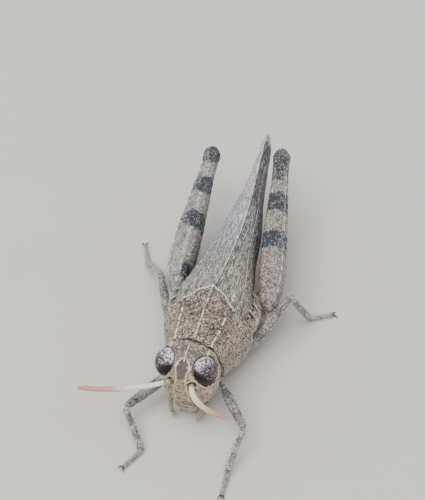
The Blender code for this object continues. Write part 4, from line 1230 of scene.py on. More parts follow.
def make_abdomen(sizes, colours):
    """Eight overlapping rings, the plate and cerci at their end, and the hooked valves of the ovipositor."""
    material = finishes(colours)
    rings = trunk_section(ABDOMEN_ROWS, ABDOMEN_START - 0.35, ABDOMEN_END, segment_step)
    bm = sheet(rings, long=200, across=96)
    carve(bm, touch_abdomen)
    plant(bm, "coat_trunk", cell=(2, 0), number=700, choose=lambda u, v, p: ramp(p.y, 12.0, 20.0) + 0.1,
          size=0.16, lean=lambda normal, p: normal * 0.6 + Vector((0, 0.9, 0)), seed=23)
    piece("abdomen_rings", bm, material["abdomen"], ["abdomen"])

    rows = [(0.0, 0.36, 0.10, 0.08), (0.5, 0.32, 0.11, 0.08), (1.0, 0.12, 0.06, 0.05)]
    plate = straight(Vector((0, ABDOMEN_END - 0.35, 3.86)), Vector((0, ABDOMEN_END + 0.55, 3.80)))
    bm = sheet(round_tube(plate, rounded_rows(rows, 0.9, 0.5, 1.0)), long=30, across=32)
    carve(bm, lambda u, v, p: (-0.03 * hump(p.x, 0.05), 0.3 * ramp(u, 0.7, 1.0), 0.6 * hump(p.x, 0.05), 0.2))
    piece("anal_plate", bm, material["abdomen"])
    cercus_rows = [(0.0, 0.13, 0.13, 0.13), (1.0, 0.05, 0.05, 0.05)]
    valve_rows = [
        (0.0, 0.20, 0.20, 0.20), (0.55, 0.24, 0.19, 0.19), (0.8, 0.17, 0.13, 0.13), (1.0, 0.04, 0.04, 0.04)
    ]
    for name, side in SIDES.items():
        cercus = straight(Vector((0.40 * side, ABDOMEN_END - 0.25, 3.62)),
                          Vector((0.50 * side, ABDOMEN_END + 0.38, 3.70)))
        bm = sheet(round_tube(cercus, rounded_rows(cercus_rows, 0.65)), long=16, across=16)
        carve(bm, lambda u, v, p: (0.0, 0.2, 0.5 * ramp(u, 0.6, 1.0), 0.3))
        piece("cercus_" + name, bm, material["abdomen"])
        for label, lift, nodes in (("upper_valve_", 1, ["ovipositor_" + name]), ("lower_valve_", -1, [])):
            hook = bowed((0.27 * side, ABDOMEN_END - 0.5, 3.30 + 0.12 * lift),
                         (0.27 * side, ABDOMEN_END + 0.85, 3.30 + 0.10 * lift),
                         (0.24 * side, ABDOMEN_END + 1.55, 3.32 + 0.46 * lift))
            bm = sheet(round_tube(hook, rounded_rows(valve_rows, 2.1)), long=60, across=22)
            carve(bm, lambda u, v, p: (0.012 * clouds(p, 0.12), 0.15, ramp(u, 0.72, 0.9), 0.4))
            piece(label + name, bm, material["abdomen"], nodes)


# ---------------------------------------- wings

WING_START, WING_TIP, WING_ROUND = 4.3, 26.2, 1.5   # where the covers start and end, and their rounding
WING_POINTS, WING_STATIONS = 40, 25                 # points across a cover, and places where it is measured
FAN_START, FAN_END, FAN_PLEATS = 8.0, 22.0, 11      # the folded hind wings
# Place, half width, ridge height, hem height, squareness of the shoulder
WING_ROWS = [
    (4.2, 3.15, 7.12, 4.9, 2.7),
    (6.3, 3.42, 7.40, 4.7, 2.7),
    (8.5, 3.00, 7.30, 4.5, 2.6),
    (11.5, 2.35, 7.12, 4.3, 2.4),
    (15.5, 1.85, 6.90, 4.1, 2.2),
    (19.5, 1.08, 6.66, 4.05, 2.1),
    (23.0, 0.68, 6.50, 4.45, 2.0),
    (25.2, 0.52, 6.42, 5.15, 2.0),
    (WING_TIP, 0.46, 6.28, 5.75, 2.0),
]
# Place, how far the wings sway to the left, and where the upper one's free edge lies off their middle
WING_LINES = [
    (4.2, 0.0, 0.0),
    (6.3, 0.0, 0.12),
    (10.0, 0.0, 0.42),
    (14.0, 0.0, 0.56),
    (19.0, -0.10, 0.38),
    (23.0, -0.25, 0.12),
    (WING_TIP, -0.38, 0.0),
]
TUCK = 0.40             # how far the lower wing runs on under the upper one
# Veins: place off the shoulder line at the base, towards the hem where it is positive; height; paleness
VEINS = (
    (0.0, 1.2, 0.50), (0.30, 0.9, 0.2), (0.62, 0.9, 0.35), (1.05, 0.5, 0.0), (1.5, 0.5, 0.1),
    (-0.34, 0.8, 0.15), (-0.72, 0.8, 0.0), (-1.06, 0.6, 0.2), (-1.5, 0.8, 0.25), (-1.95, 0.6, 0.0),
    (-2.4, 0.6, 0.2), (-2.8, 0.5, 0.0),
)
RUNG = 0.42             # from one cross vein to the next
SCATTER = (12.9898, 43758.5453)     # large numbers that scatter the cross veins of neighbouring lanes


def wing_place(u):
    """How far back a share of a wing cover's length lies."""
    return WING_START + (WING_TIP - WING_START) * u


def wing_shape(side, y):
    """Free edge, sway, half width, ridge, hem and squareness of one wing at a place."""
    half_width, ridge, hem, square = along(WING_ROWS, y)
    sway, edge = along(WING_LINES, y)
    if side == LEFT:
        edge -= TUCK * ramp(y, WING_START, 7.0) * ramp(y, WING_TIP, 23.5)
    tip = dome((WING_TIP - y) / WING_ROUND)
    middle = ridge - (ridge - hem) * 0.35
    ridge, hem = middle + (ridge - middle) * tip, middle + (hem - middle) * tip
    return edge * tip, sway, half_width * tip, ridge, hem, square


def wing_section(side):
    """Lines over a wing cover, from its free edge to its hem."""
    def section(u):
        y = wing_place(u)
        edge, sway, half_width, ridge, hem, square = wing_shape(side, y)
        width, points = half_width - edge * side, []
        for i in range(WING_POINTS):
            turn = pi / 2 * (1 - i / (WING_POINTS - 1))
            across, rise = power(cos(turn), 2 / square), power(sin(turn), 2 / square)
            points.append(Vector((edge + across * width * side + sway, y, hem + rise * (ridge - hem))))
        line = walk(points)

        def place(v):
            spot = line(v)
            off = (v * (spot - points[0]).length if v < 0.3 else 9.0)
            spot.z -= (0.06 if side == LEFT else -0.02) * ramp(off, 0.5, 0.05)
            return spot

        return place

    return section


def wing_metrics(side):
    """For a share of the length: how far the section runs, and how far down it the shoulder lies."""
    rows = []
    for i in range(WING_STATIONS):
        u = min(i / (WING_STATIONS - 1), 0.995)
        line = wing_section(side)(u)
        spots = [line(j / WING_POINTS) for j in range(WING_POINTS + 1)]
        steps = [(b - a).length for a, b in zip(spots, spots[1:])]
        total = max(sum(steps), 1e-3)
        sway, half_width, ridge, hem = wing_shape(side, wing_place(u))[1:5]
        wide, high = max(half_width, 0.01), max(ridge - hem, 0.01)
        out = [abs(spot.x - sway) / wide + (spot.z - hem) / high for spot in spots]
        rows.append((i / (WING_STATIONS - 1), total, sum(steps[:out.index(max(out))])))
    return rows


def touch_wing(side, lift):
    """Veins that stand out by a lift, with finer ones between them, and the paint of a wing cover."""
    metrics = wing_metrics(side)
    base = metrics[0][1]

    def touch(u, v, place):
        total, shoulder = along(metrics, u)
        y = place.y
        down = v * total - shoulder
        narrow = 0.30 + 0.70 * min(1.0, total / base)
        vein, pale, lane = 0.0, 0.0, 0
        for offset, height, light in VEINS:
            line = offset * narrow + 0.03 * sin(y * 0.8 + offset * 5)
            strength = hump(down - line, 0.05)
            vein = max(vein, strength * height)
            pale = max(pale, strength * light)
            lane += down > line
        lane_phase = sin(lane * SCATTER[0]) * SCATTER[1] % 1.0
        rung = (y / RUNG + lane_phase + 0.12 * clouds(place, 1.2)) % 1.0
        rungs = hump(min(rung, 1 - rung), 0.10) * 0.45
        free, hem = v * total, (1 - v) * total
        rim = max(hump(free - 0.05, 0.05), 0.8 * hump(hem - 0.06, 0.07))
        threads = (0.5 + 0.5 * cos(down / (0.25 * narrow) * ROUND)) ** 4
        height = lift * (max(vein, rungs, 0.35 * threads) + 1.0 * rim) + 0.02 * clouds(place, 0.9) - 0.012
        pale += (0.16 * threads + 0.45 * hump(free - 0.05, 0.07) * ramp(y, 17.0, 11.0)
                 + 0.2 * hump(hem - 0.06, 0.06))
        x = abs(place.x)
        pale += 0.8 * hump(x - 1.95, 0.20) * hump(y - 5.9, 0.45) * ramp(clouds(place, 0.3), -0.3, 0.2)
        dark = 0.30 * ramp(clouds(place, 0.35), 0.25, 0.55)
        # Darker down the side below the shoulder towards the rear: partly the field's own colour, partly
        # painted shade
        dark += 0.12 * ramp(down, 0.1, 0.8) * ramp(y, 12.0, 17.0)
        dark += 0.55 * hump(x - 2.25, 0.18) * hump(y - 5.5, 0.4)
        warm = (0.95 * ramp(y, 17.0, 22.0) + 0.25 * ramp(y, 11.0, 17.0)) * ramp(down, 0.25, -0.10)
        if side == LEFT:
            warm = ramp(y, 24.6, 25.8)
            # The left wing cover darker towards its rear: partly its colour, partly painted shade
            dark += 0.35 * ramp(y, 15.0, 21.0)
        warm = max(warm, 0.8 * hump(free - 0.05, 0.09))
        return height, pale, dark * (1 - 0.8 * warm), warm

    return touch


def make_wings(sizes, colours):
    """The right wing cover over the left, and the pleated hind wings folded under them."""
    material = finishes(colours)
    for name, side in SIDES.items():
        bm = sheet(wing_section(side), long=300, across=76)
        face_towards(bm, Vector((side, 0, 1)))
        carve(bm, touch_wing(side, sizes.vein / MM))
        piece("wing_cover_" + name, bm, material["wing_" + name], ["wing_" + name],
              wall=sizes.wing_skin)

    def fan(u):
        y = FAN_START + (FAN_END - FAN_START) * u
        half_width, ridge, hem = along(WING_ROWS, y)[:3]
        sway = along(WING_LINES, y)[0]
        wide, high, low = (half_width - 0.35) * 0.75, ridge - 0.5, max(hem + 0.4, ridge - 1.5)
        cap = dome((FAN_END - y) / 1.2)

        def place(v):
            turn = ROUND * v
            pleat = 1 + 0.10 * sin(turn * FAN_PLEATS)
            across = cos(turn) * wide * pleat * cap
            rise = sin(turn) * (high - low) / 2 * pleat * cap
            return Vector((sway + across, y, (high + low) / 2 + rise))

        return place

    bm = sheet(fan, long=80, across=132)
    carve(bm, lambda u, v, place: (0.01 * clouds(place, 0.4), 0.0, 0.0, 0.0))
    piece("hind_wings_folded", bm, material["hind_wing"])


# ---------------------------------------- legs

ANKLE = 0.55                            # height of an ankle's middle
PAD_JOINTS = (0.475, 0.615)             # shares of a foot's length at which its pads meet
TROCHANTER, KNEE_LINE = 0.075, 0.925    # shares of a smaller femur's length at which its joints lie
COXA_JOINT = 0.86                       # the same for a coxa
TIBIA_SPINES = ((-1, 9), (1, 10))       # side and number of spines of each row on a hind tibia
# Hip, ankle, the way from hip to knee, heading in degrees and length of the foot, length of femur and tibia
LEGS = {
    "fore_left": ((2.5, -0.15, 2.2), (4.95, -7.45, ANKLE), (2.85, -3.88, 0.1), 3, 2.2, 4.85, 4.0),
    "fore_right": ((-2.4, -0.15, 2.2), (-2.85, -7.15, ANKLE), (-2.5, -4.1, -0.5), -28, 2.2, 4.85, 4.0),
    "mid_left": ((3.5, 4.3, 2.05), (7.7, 10.3, ANKLE), (2.7, 4.6, 2.6), 118, 2.2, 6.1, 4.6),
    "mid_right": ((-3.5, 4.3, 2.05), (-8.45, 12.75, ANKLE), (-2.4, 5.4, 1.7), -156, 2.3, 6.1, 4.6),
    "hind_left": ((4.60, 7.6, 4.1), (2.8, 11.9, ANKLE), (-2.85, 16.1, 3.5), 163, 3.9, 16.3, 13.3),
    "hind_right": ((-4.15, 7.5, 4.2), (-4.95, 11.3, ANKLE), (-0.75, 15.6, 2.1), -172, 3.9, 16.3, 13.3),
}
# Root of each coxa on the breast, and its half width
COXAE = {
    "fore_left": ((1.45, 0.95, 2.35), 0.62), "fore_right": ((-1.45, 0.95, 2.35), 0.62),
    "mid_left": ((2.5, 4.7, 2.2), 0.62), "mid_right": ((-2.5, 4.7, 2.2), 0.62),
    "hind_left": ((3.0, 7.6, 2.6), 0.85), "hind_right": ((-3.0, 7.6, 2.6), 0.85),
}
# Half width of a coxa along its length, against that at its root
COXA_ROWS = ((0.0, 1.0), (0.55, 1.0), (0.8, 0.8), (COXA_JOINT, 0.62), (0.93, 0.66), (1.0, 0.5))
# Share of the length, half width, upper half and lower half
SMALL_FEMUR = [
    (0.0, 0.26, 0.28, 0.28), (0.05, 0.28, 0.32, 0.30), (0.10, 0.36, 0.44, 0.40), (0.35, 0.42, 0.54, 0.48),
    (0.7, 0.37, 0.46, 0.40), (0.88, 0.32, 0.38, 0.34), (0.96, 0.36, 0.42, 0.38), (1.0, 0.28, 0.32, 0.28),
]
SMALL_TIBIA = [
    (0.0, 0.20, 0.24, 0.24), (0.06, 0.30, 0.34, 0.32), (0.16, 0.23, 0.26, 0.25), (0.5, 0.22, 0.24, 0.24),
    (0.85, 0.23, 0.24, 0.24), (0.95, 0.28, 0.28, 0.28), (1.0, 0.22, 0.22, 0.22),
]
HIND_TIBIA = [
    (0.0, 0.26, 0.32, 0.32), (0.03, 0.38, 0.46, 0.44), (0.09, 0.34, 0.38, 0.38), (0.3, 0.31, 0.33, 0.33),
    (0.85, 0.30, 0.31, 0.31), (0.96, 0.40, 0.38, 0.38), (1.0, 0.30, 0.28, 0.28),
]
CLAW_ROWS = [
    (0.0, 0.075, 0.08, 0.08), (0.4, 0.06, 0.065, 0.065), (0.8, 0.03, 0.035, 0.035), (1.0, 0.01, 0.01, 0.01),
]
# Share of a foot's length, height of its middle, half width, upper and lower half: pads, joints, claw joint
FOOT_ROWS = [
    (0.0, 0.46, 0.18, 0.18, 0.18), (0.05, 0.38, 0.22, 0.22, 0.26), (0.12, 0.30, 0.23, 0.21, 0.295),
    (0.19, 0.28, 0.18, 0.18, 0.18), (0.26, 0.28, 0.22, 0.19, 0.275), (0.33, 0.27, 0.17, 0.17, 0.17),
    (0.40, 0.27, 0.22, 0.19, 0.265), (0.475, 0.26, 0.14, 0.14, 0.13), (0.54, 0.26, 0.20, 0.18, 0.255),
    (0.615, 0.26, 0.13, 0.13, 0.12), (0.68, 0.26, 0.15, 0.15, 0.15), (0.85, 0.27, 0.16, 0.16, 0.16),
    (0.95, 0.27, 0.19, 0.18, 0.19), (1.0, 0.27, 0.13, 0.13, 0.13),
]
# Share, half thickness, upper and lower half height of the thick hind femur
HIND_FEMUR_ROWS = [
    (0.0, 0.55, 0.85, 0.75), (0.04, 0.82, 1.40, 1.20), (0.12, 1.08, 1.95, 1.70), (0.24, 1.20, 2.20, 2.00),
    (0.38, 1.16, 2.08, 1.90), (0.55, 1.02, 1.70, 1.50), (0.70, 0.88, 1.28, 1.10), (0.82, 0.76, 0.96, 0.84),
    (0.90, 0.76, 0.94, 0.82), (0.96, 0.82, 1.02, 0.88), (1.0, 0.60, 0.70, 0.56),
]
# Corners of its cross-section as shares of half thickness and half height: keels and ledges
FEMUR_CORNERS = [
    (0.0, 1.0), (0.22, 0.90), (0.72, 0.70), (0.84, 0.58), (1.0, 0.2), (1.0, -0.25), (0.84, -0.62),
    (0.62, -0.78), (0.34, -1.0), (-0.34, -1.0), (-0.62, -0.78), (-0.84, -0.62), (-0.96, -0.25),
    (-0.96, 0.2), (-0.84, 0.58), (-0.72, 0.70), (-0.22, 0.90),
]
# Its keels, in the same shares, and how strong each is
FEMUR_KEELS = ((0.0, 1.0, 1.0), (0.78, 0.64, 0.9), (0.84, -0.62, 0.9), (0.34, -1.0, 0.6))
# Where each slate band starts and ends along the femur, and its strength on the inner and the outer side
FEMUR_BANDS = {
    LEFT: ((0.34, 0.46, 1.0, 0.75), (0.585, 0.72, 1.0, 0.8), (0.80, 1.04, 0.85, 0.75)),
    RIGHT: ((0.38, 0.51, 1.0, 0.62), (0.655, 0.785, 1.0, 0.72), (0.89, 1.04, 0.9, 0.70)),
}
CHEVRONS = 19                           # ribs of its herringbone
FEMUR_FIRST, FEMUR_LAST = -0.012, 1.02  # where its skin starts and ends on the way from hip to knee


def knee_of(hip, ankle, femur, tibia, way):
    """Where the knee lies for two lengths between hip and ankle, on the side of a rough way to it."""
    line = ankle - hip
    span = line.length
    reach = (femur**2 - tibia**2 + span**2) / (2 * span)
    ahead = line / span
    aside = (way - ahead * way.dot(ahead)).normalized()
    return hip + ahead * reach + aside * sqrt(max(femur**2 - reach**2, 0.0))


class Leg:
    """The joints of one leg."""

    def __init__(self, name):
        hip, ankle, way, heading, self.foot, femur, tibia = LEGS[name]
        self.name, self.side = name, SIDES[name.split("_")[1]]
        self.hip, self.ankle = Vector(hip), Vector(ankle)
        self.knee = knee_of(self.hip, self.ankle, femur, tibia, Vector(way))
        self.heading = radians(heading)
        root, self.root_width = COXAE[name]
        self.root = Vector(root)


def plant_leg(bm, cell, number, chance, size, out, lean, seed):
    """Hairs of a leg's skin, which stand out of it by a share and lean one way."""
    plant(bm, "coat_legs", cell, number, lambda u, v, p: chance, size,
          lambda normal, p: normal * out + lean, seed + cell[0])


def make_coxa(leg, material):
    """The short joint between the body and a leg."""
    rows = [(share, *[leg.root_width * wide] * 3) for share, wide in COXA_ROWS]
    end = leg.hip if not leg.name.startswith("hind") else Vector((leg.hip.x * 0.96, 7.2, 3.0))

    def touch(u, v, place):
        joint = hump(u - COXA_JOINT, 0.035)
        return (-0.04 * joint + 0.025 * clouds(place, 0.3) - 0.02 * pits(place, 0.22),
                0.35 * ramp(clouds(place, 0.4), 0.1, 0.5), 0.7 * joint, 0.2)

    bm = limb(leg.root, end, rows, long=36, across=44, caps=(0.6, 0.6))
    carve(bm, touch)
    plant_leg(bm, (0, 0), number=120, chance=0.6, size=0.3, out=1.0, lean=Vector((0, 0, -0.3)), seed=31)
    piece(leg.name + "_hip", bm, material["leg"], [leg.name + "_coxa"])


def make_small_femur(leg, material, cell, hair):
    """A fore or middle leg's ridged and ringed thigh."""
    start, end = leg.hip, leg.knee
    ahead = (end - start).normalized()

    def touch(u, v, place):
        ridge = 0.5 + 0.5 * cos(6 * ROUND * (v - 0.25))
        ring = 0.5 + 0.5 * sin(u * 15 + 2 * clouds(place, 0.6))
        knee, hip = hump(u - KNEE_LINE, 0.02), hump(u - TROCHANTER, 0.012)
        height = 0.035 * ridge * ramp(u, 0.05, 0.15) * ramp(u, 0.92, 0.85) - 0.03 * knee
        height += 0.02 * clouds(place, 0.25) + 0.01 * clouds(place, 0.08) - 0.03 * hip
        return height, 0.35 * ridge * ring, 0.5 * (1 - ring) + 0.5 * knee + 0.5 * hip, 0.15

    bm = limb(start, end, SMALL_FEMUR, long=96, across=60)
    carve(bm, touch)
    plant_leg(bm, cell, number=420, chance=0.8, size=hair, out=0.9, lean=ahead * 0.5, seed=41)
    piece(leg.name + "_thigh", bm, material["leg"], [leg.name + "_femur"])


def make_small_tibia(leg, material, cell, hair):
    """A fore or middle leg's shin, with two rows of spines and a pair at its end."""
    start, end = leg.knee, leg.ankle + Vector((0, 0, -0.05))
    ahead = (end - start).normalized()
    across, up = square_up(ahead, leg.knee - leg.hip)
    size = (end - start).length

    def touch(u, v, place):
        ring = 0.5 + 0.5 * sin(u * 17 + 1.5 * clouds(place, 0.5))
        return (0.016 * clouds(place, 0.2) + 0.02 * cos(4 * ROUND * v) * ramp(u, 0.1, 0.2),
                0.4 * ring, 0.55 * (1 - ring) * ramp(clouds(place, 0.3), -0.5, 0.1), 0.25)

    bm = limb(start, end, SMALL_TIBIA, long=90, across=40, reference=leg.knee - leg.hip)
    carve(bm, touch)
    plant_leg(bm, cell, number=460, chance=0.8, size=hair, out=0.9, lean=ahead * 0.55, seed=51)
    for row in (-1, 1):
        for i in range(7):
            root = start + ahead * size * (0.28 + 0.095 * i) + across * row * 0.12 - up * 0.17
            thorn(bm, root, root + ahead * 0.24 + across * row * 0.16 - up * 0.24, 0.045)
        root = end - ahead * 0.12 + across * row * 0.14 - up * 0.12
        thorn(bm, root, root + ahead * 0.32 + across * row * 0.14 - up * 0.10, 0.05)
    piece(leg.name + "_shin", bm, material["leg"], [leg.name + "_tibia"])


def make_foot(leg, material, cell, hair, broad=1.0):
    """Pads, joints, a pair of hooked claws and the soft pad between them."""
    heading = Vector((sin(leg.heading), -cos(leg.heading), 0))
    across = Vector((cos(leg.heading), sin(leg.heading), 0))

    def section(u):
        centre_z, half_width, above, below = along(FOOT_ROWS, u)
        cap = dome(u * 14) * dome((1 - u) * 12)
        centre = leg.ankle + heading * leg.foot * u
        centre.z = centre_z

        def place(v):
            turn = ROUND * v
            rise = power(sin(turn), 0.9)
            spot = centre + across * power(cos(turn), 0.9) * half_width * broad * cap
            spot.z += rise * (above * broad if rise > 0 else below) * cap
            return spot

        return place

    def touch(u, v, place):
        pad = ramp(place.z, 0.16, 0.05)
        joints = sum(hump(u - share, 0.014) for share in PAD_JOINTS)
        return 0.006 * clouds(place, 0.1) * ramp(place.z, 0.05, 0.12), 0.35 * pad, 0.6 * joints, 0.3

    bm = sheet(section, long=130, across=34)
    carve(bm, touch)
    plant(bm, "coat_legs", cell, number=260, choose=lambda u, v, p: ramp(p.z, 0.1, 0.2), size=hair * 0.7,
          lean=lambda normal, p: normal * 0.8 + heading * 0.6, seed=61 + cell[0])
    piece(leg.name + "_foot", bm, material["foot"], [leg.name + "_tarsus"])

    end = leg.ankle + heading * leg.foot
    splay = 0.12 if leg.name.startswith("hind") else 0.26
    bm = bmesh.new()
    for row in (-1, 1):
        root = Vector((end.x, end.y, 0.27)) + across * row * 0.07 - heading * 0.06
        middle = root + heading * splay + across * row * splay * 0.54 + Vector((0, 0, 0.03))
        tip = root + heading * splay * 1.7 + across * row * splay + Vector((0, 0, -0.24))
        claw = round_tube(bowed(root, middle, tip), rounded_rows(CLAW_ROWS, 0.55))
        join(bm, sheet(claw, long=20, across=12))
    piece(leg.name + "_claws", bm, material["horn"])
    bm = bmesh.new()
    ball(bm, (end.x + heading.x * 0.10, end.y + heading.y * 0.10, 0.17), (0.13, 0.13, 0.07))
    piece(leg.name + "_toe_pad", bm, material["membrane"])


def make_hind_femur(leg, material, cell, hair):
    """The jumping leg's thick femur: keels, a herringbone on its outer face, dark bands and knee lobes."""
    start, end, side = leg.hip, leg.knee, leg.side
    ahead = (end - start).normalized()
    across, up = square_up(ahead, UP)
    size = (end - start).length
    outward = 1 if across.x * side > 0 else -1

    def section(u):
        share = FEMUR_FIRST + (FEMUR_LAST - FEMUR_FIRST) * u
        thick, high, low = along(HIND_FEMUR_ROWS, share)
        cap = dome((share - FEMUR_FIRST) * size / 0.75) * dome((FEMUR_LAST - share) * size / 0.62)
        centre = start + ahead * size * share
        ring = []
        for x, z in [*FEMUR_CORNERS, FEMUR_CORNERS[0]]:
            ring.append(centre + across * x * thick * cap + up * z * (high if z > 0 else low) * cap)
        line = walk(ring)

        def place(v):
            return (line(v) * 2 + line((v + 0.012) % 1.0) + line((v - 0.012) % 1.0)) / 4

        return place

    def touch(u, v, place):
        rel = place - start
        share = rel.dot(ahead) / size
        thick, high, low = along(HIND_FEMUR_ROWS, share)
        x, z = rel.dot(across) / thick, rel.dot(up)
        z /= high if z > 0 else low
        outer = ramp(x * outward, 0.55, 0.9)
        inner = ramp(x * outward, -0.3, -0.8)
        field = max(outer, 0.5 * inner) * ramp(abs(z + 0.02), 0.60, 0.48)
        field *= ramp(share, 0.04, 0.10) * ramp(share, 0.86, 0.80)
        wave = sin(ROUND * (share * CHEVRONS - 0.55 * abs(z)))
        rib = field * (0.5 + 0.5 * wave)
        keel = 0.0
        for kx, kz, strength in FEMUR_KEELS:
            off = hypot((abs(x) - kx) * thick, (z - kz) * (high if z > 0 else low))
            keel = max(keel, hump(off, 0.10) * strength)
        keel *= ramp(share, 0.02, 0.08) * ramp(share, 0.95, 0.88)
        tooth = 0.5 + 0.5 * sin(share * 240)
        lobe = hump(hypot((share - 0.955) * size / 0.55, z / 0.55) - 1, 0.14) * ramp(share, 0.90, 0.93)
        height = 0.085 * rib - 0.03 * field + 0.05 * keel * (0.8 + 0.2 * tooth) - 0.05 * lobe
        height += 0.014 * clouds(place, 0.2) + 0.008 * clouds(place, 0.08)
        ragged = 0.014 * clouds(place, 0.5) + 0.010 * clouds(place, 0.2)
        facing = ramp(x * outward, -0.2, 0.75)
        band = 0.0
        for first, last, inside, outside in FEMUR_BANDS[side]:
            slant = share + ragged + 0.02 * z
            here = ramp(slant, first - 0.012, first + 0.018) * ramp(slant, last + 0.012, last - 0.018)
            band = max(band, here * (inside + (outside - inside) * facing))
        band *= ramp(z, -0.9, -0.3)
        dark = band * (0.84 - 0.12 * rib) * (0.95 + 0.3 * clouds(place, 0.4))
        if side == RIGHT:
            dark += 0.9 * hump(share - 0.10, 0.06) * ramp(x * outward, -0.15, -0.6) * ramp(z, -0.4, 0.2)
        # Darker in the furrows between the herringbone's ribs as painted shade, and on the knee lobes
        dark += 0.42 * outer * field * (1 - rib / max(field, 0.01)) + 0.35 * lobe
        dash = 0.5 + 0.5 * sin(share * 95 + 2 * clouds(place, 0.8))
        pale = keel * (1 - 0.6 * band) * (0.25 + 1.0 * dash * facing) + 0.18 * rib * (1 - band)
        if side == RIGHT:
            pale = max(pale, 0.48 * hump(x * outward + 0.25, 0.40) * (1 - band) * ramp(z, 0.0, 0.4))
        tan_top, tan_half = 0.35, inner
        if side == LEFT:
            tan_top, tan_half = 1.3, 0.5 + 0.5 * ramp(x * outward, 0.0, -0.25)
        warm = 0.8 * tan_half * ramp(x * outward, 0.8, 0.6) * ramp(z, tan_top, tan_top - 0.2)
        warm *= (1 - band) * ramp(share, 0.95, 0.8)
        deep = 0.9 * inner * ramp(z, 0.2, -0.1) * ramp(share, 0.88, 0.8)
        deep += 0.3 * ramp(z, -0.8, -0.98)
        return height, pale * (1 - 0.7 * inner), dark, warm, deep

    bm = sheet(section, long=230, across=120)
    carve(bm, touch)
    plant_leg(bm, cell, number=700, chance=0.5, size=hair * 0.6, out=0.7, lean=ahead * 0.7, seed=71)
    piece(leg.name + "_thigh", bm, material["femur"], [leg.name + "_femur"])


def make_hind_tibia(leg, material, cell, hair, longest):
    """The folded shin, with two rows of black-tipped spines and four spurs at its end."""
    ahead = (leg.ankle - leg.knee).normalized()
    start, end = leg.knee + ahead * 0.35, leg.ankle - ahead * 0.02
    down = Vector((0, 0, -1))
    across, up = square_up(ahead, down)
    size = (end - start).length

    def touch(u, v, place):
        ring = hump(u - 0.10, 0.035)
        return (0.015 * clouds(place, 0.25) + 0.02 * cos(4 * ROUND * v), 0.8 * ring,
                0.75 * ramp(u, 0.07, 0.02) + 0.4 * hump(u - 0.16, 0.02), 0.0)

    bm = limb(start, end, HIND_TIBIA, long=150, across=36, reference=down, square=2.2)
    carve(bm, touch)
    plant_leg(bm, cell, number=700, chance=0.8, size=hair, out=0.9, lean=ahead * 0.4, seed=81)
    for row, count in TIBIA_SPINES:
        for i in range(count):
            share = 0.26 + 0.66 * i / (count - 1)
            root = start + ahead * size * share + across * row * 0.22 + up * 0.20
            long = longest * (0.62 + 0.38 * i / (count - 1)) * 0.75
            tip = root + (ahead * 0.62 + across * row * 0.42 + up * 0.62).normalized() * long
            tip.z = max(tip.z, 0.03)
            thorn(bm, root, tip, 0.085, 7, ahead * -0.03)
        for lift in (-0.5, 0.5):
            root = end - ahead * 0.15 + across * row * 0.24 + up * lift * 0.3
            tip = root + (ahead * 0.85 + across * row * 0.45 + up * lift * 0.4).normalized() * longest * 0.8
            tip.z = max(tip.z, 0.03)
            thorn(bm, root, tip, 0.085, 7)
    piece(leg.name + "_shin", bm, material["tibia"], [leg.name + "_tibia"])


def make_small_legs(sizes, colours):
    """Fore and middle legs with their feet."""
    material = finishes(colours)
    hair = sizes.hair / MM
    for number, name in enumerate(n for n in LEGS if not n.startswith("hind")):
        leg = Leg(name)
        make_coxa(leg, material)
        make_small_femur(leg, material, (number, 1), hair)
        make_small_tibia(leg, material, (number, 2), hair)
        make_foot(leg, material, (number, 3), hair)


def make_hind_legs(sizes, colours):
    """The two jumping legs with their feet."""
    material = finishes(colours)
    hair, longest = sizes.hair / MM, sizes.tibia_spine / MM
    for number, name in enumerate(n for n in LEGS if n.startswith("hind")):
        leg = Leg(name)
        make_coxa(leg, material)
        make_hind_femur(leg, material, (4 + number, 1), hair)
        make_hind_tibia(leg, material, (4 + number, 2), hair, longest)
        make_foot(leg, material, (4 + number, 3), hair, 1.15)


# ---------------------------------------- hairs

ATLAS = 8               # cells a side into which the skins' unwraps are laid
HAIR_PATCH = 0.003      # size of a hair's own patch there
HAIRS_AT_ONCE = 80      # hairs made in one small mesh before it joins the coat, which is much faster


def make_hairs(roots, thick):
    """A small mesh of hairs, each a thin three-sided cone with its own patch on the unwrap."""
    bm = bmesh.new()
    unwrap = bm.loops.layers.uv.new("OFBake")
    for root, direction, long, (cell, u, v) in roots:
        turn = direction.to_track_quat("Z", "Y").to_matrix().to_4x4()
        place = Matrix.Translation(at(root + direction * (long / 2 - 0.02))) @ turn
        made = bmesh.ops.create_cone(
            bm, cap_ends=True, segments=3, radius1=thick, radius2=0.0, depth=long * MM, matrix=place
        )["verts"]
        corner = Vector(((cell[0] + 0.05 + 0.9 * u) / ATLAS, (cell[1] + 0.05 + 0.9 * v) / ATLAS))
        for face in {face for vert in made for face in vert.link_faces}:
            for i, loop in enumerate(face.loops):
                loop[unwrap].uv = corner + Vector((i % 2, i // 2)) * HAIR_PATCH
    return bm


def make_coats(sizes, colours):
    """Fine hairs that lean with the lie of the coat."""
    for coat, roots in COAT_ROOTS.items():
        bm = bmesh.new()
        for first in range(0, len(roots), HAIRS_AT_ONCE):
            join(bm, make_hairs(roots[first:first + HAIRS_AT_ONCE], sizes.hair_root))
        piece(coat, bm, finishes(colours)["hair"])


# ---------------------------------------- stage

AIM = Vector((-1.88, 12.26, 4.96))      # what the camera looks at
LAMP_PLACE, LAMP_COLOUR = (-70, -110, 430), (1.0, 0.97, 0.93)
SKY_COLOUR = (0.90, 0.95, 1.0, 1.0)
FLOOR_RADIUS = 1.5                      # in metres
SENSOR_WIDTH = 36                       # of the camera, in its own millimetres


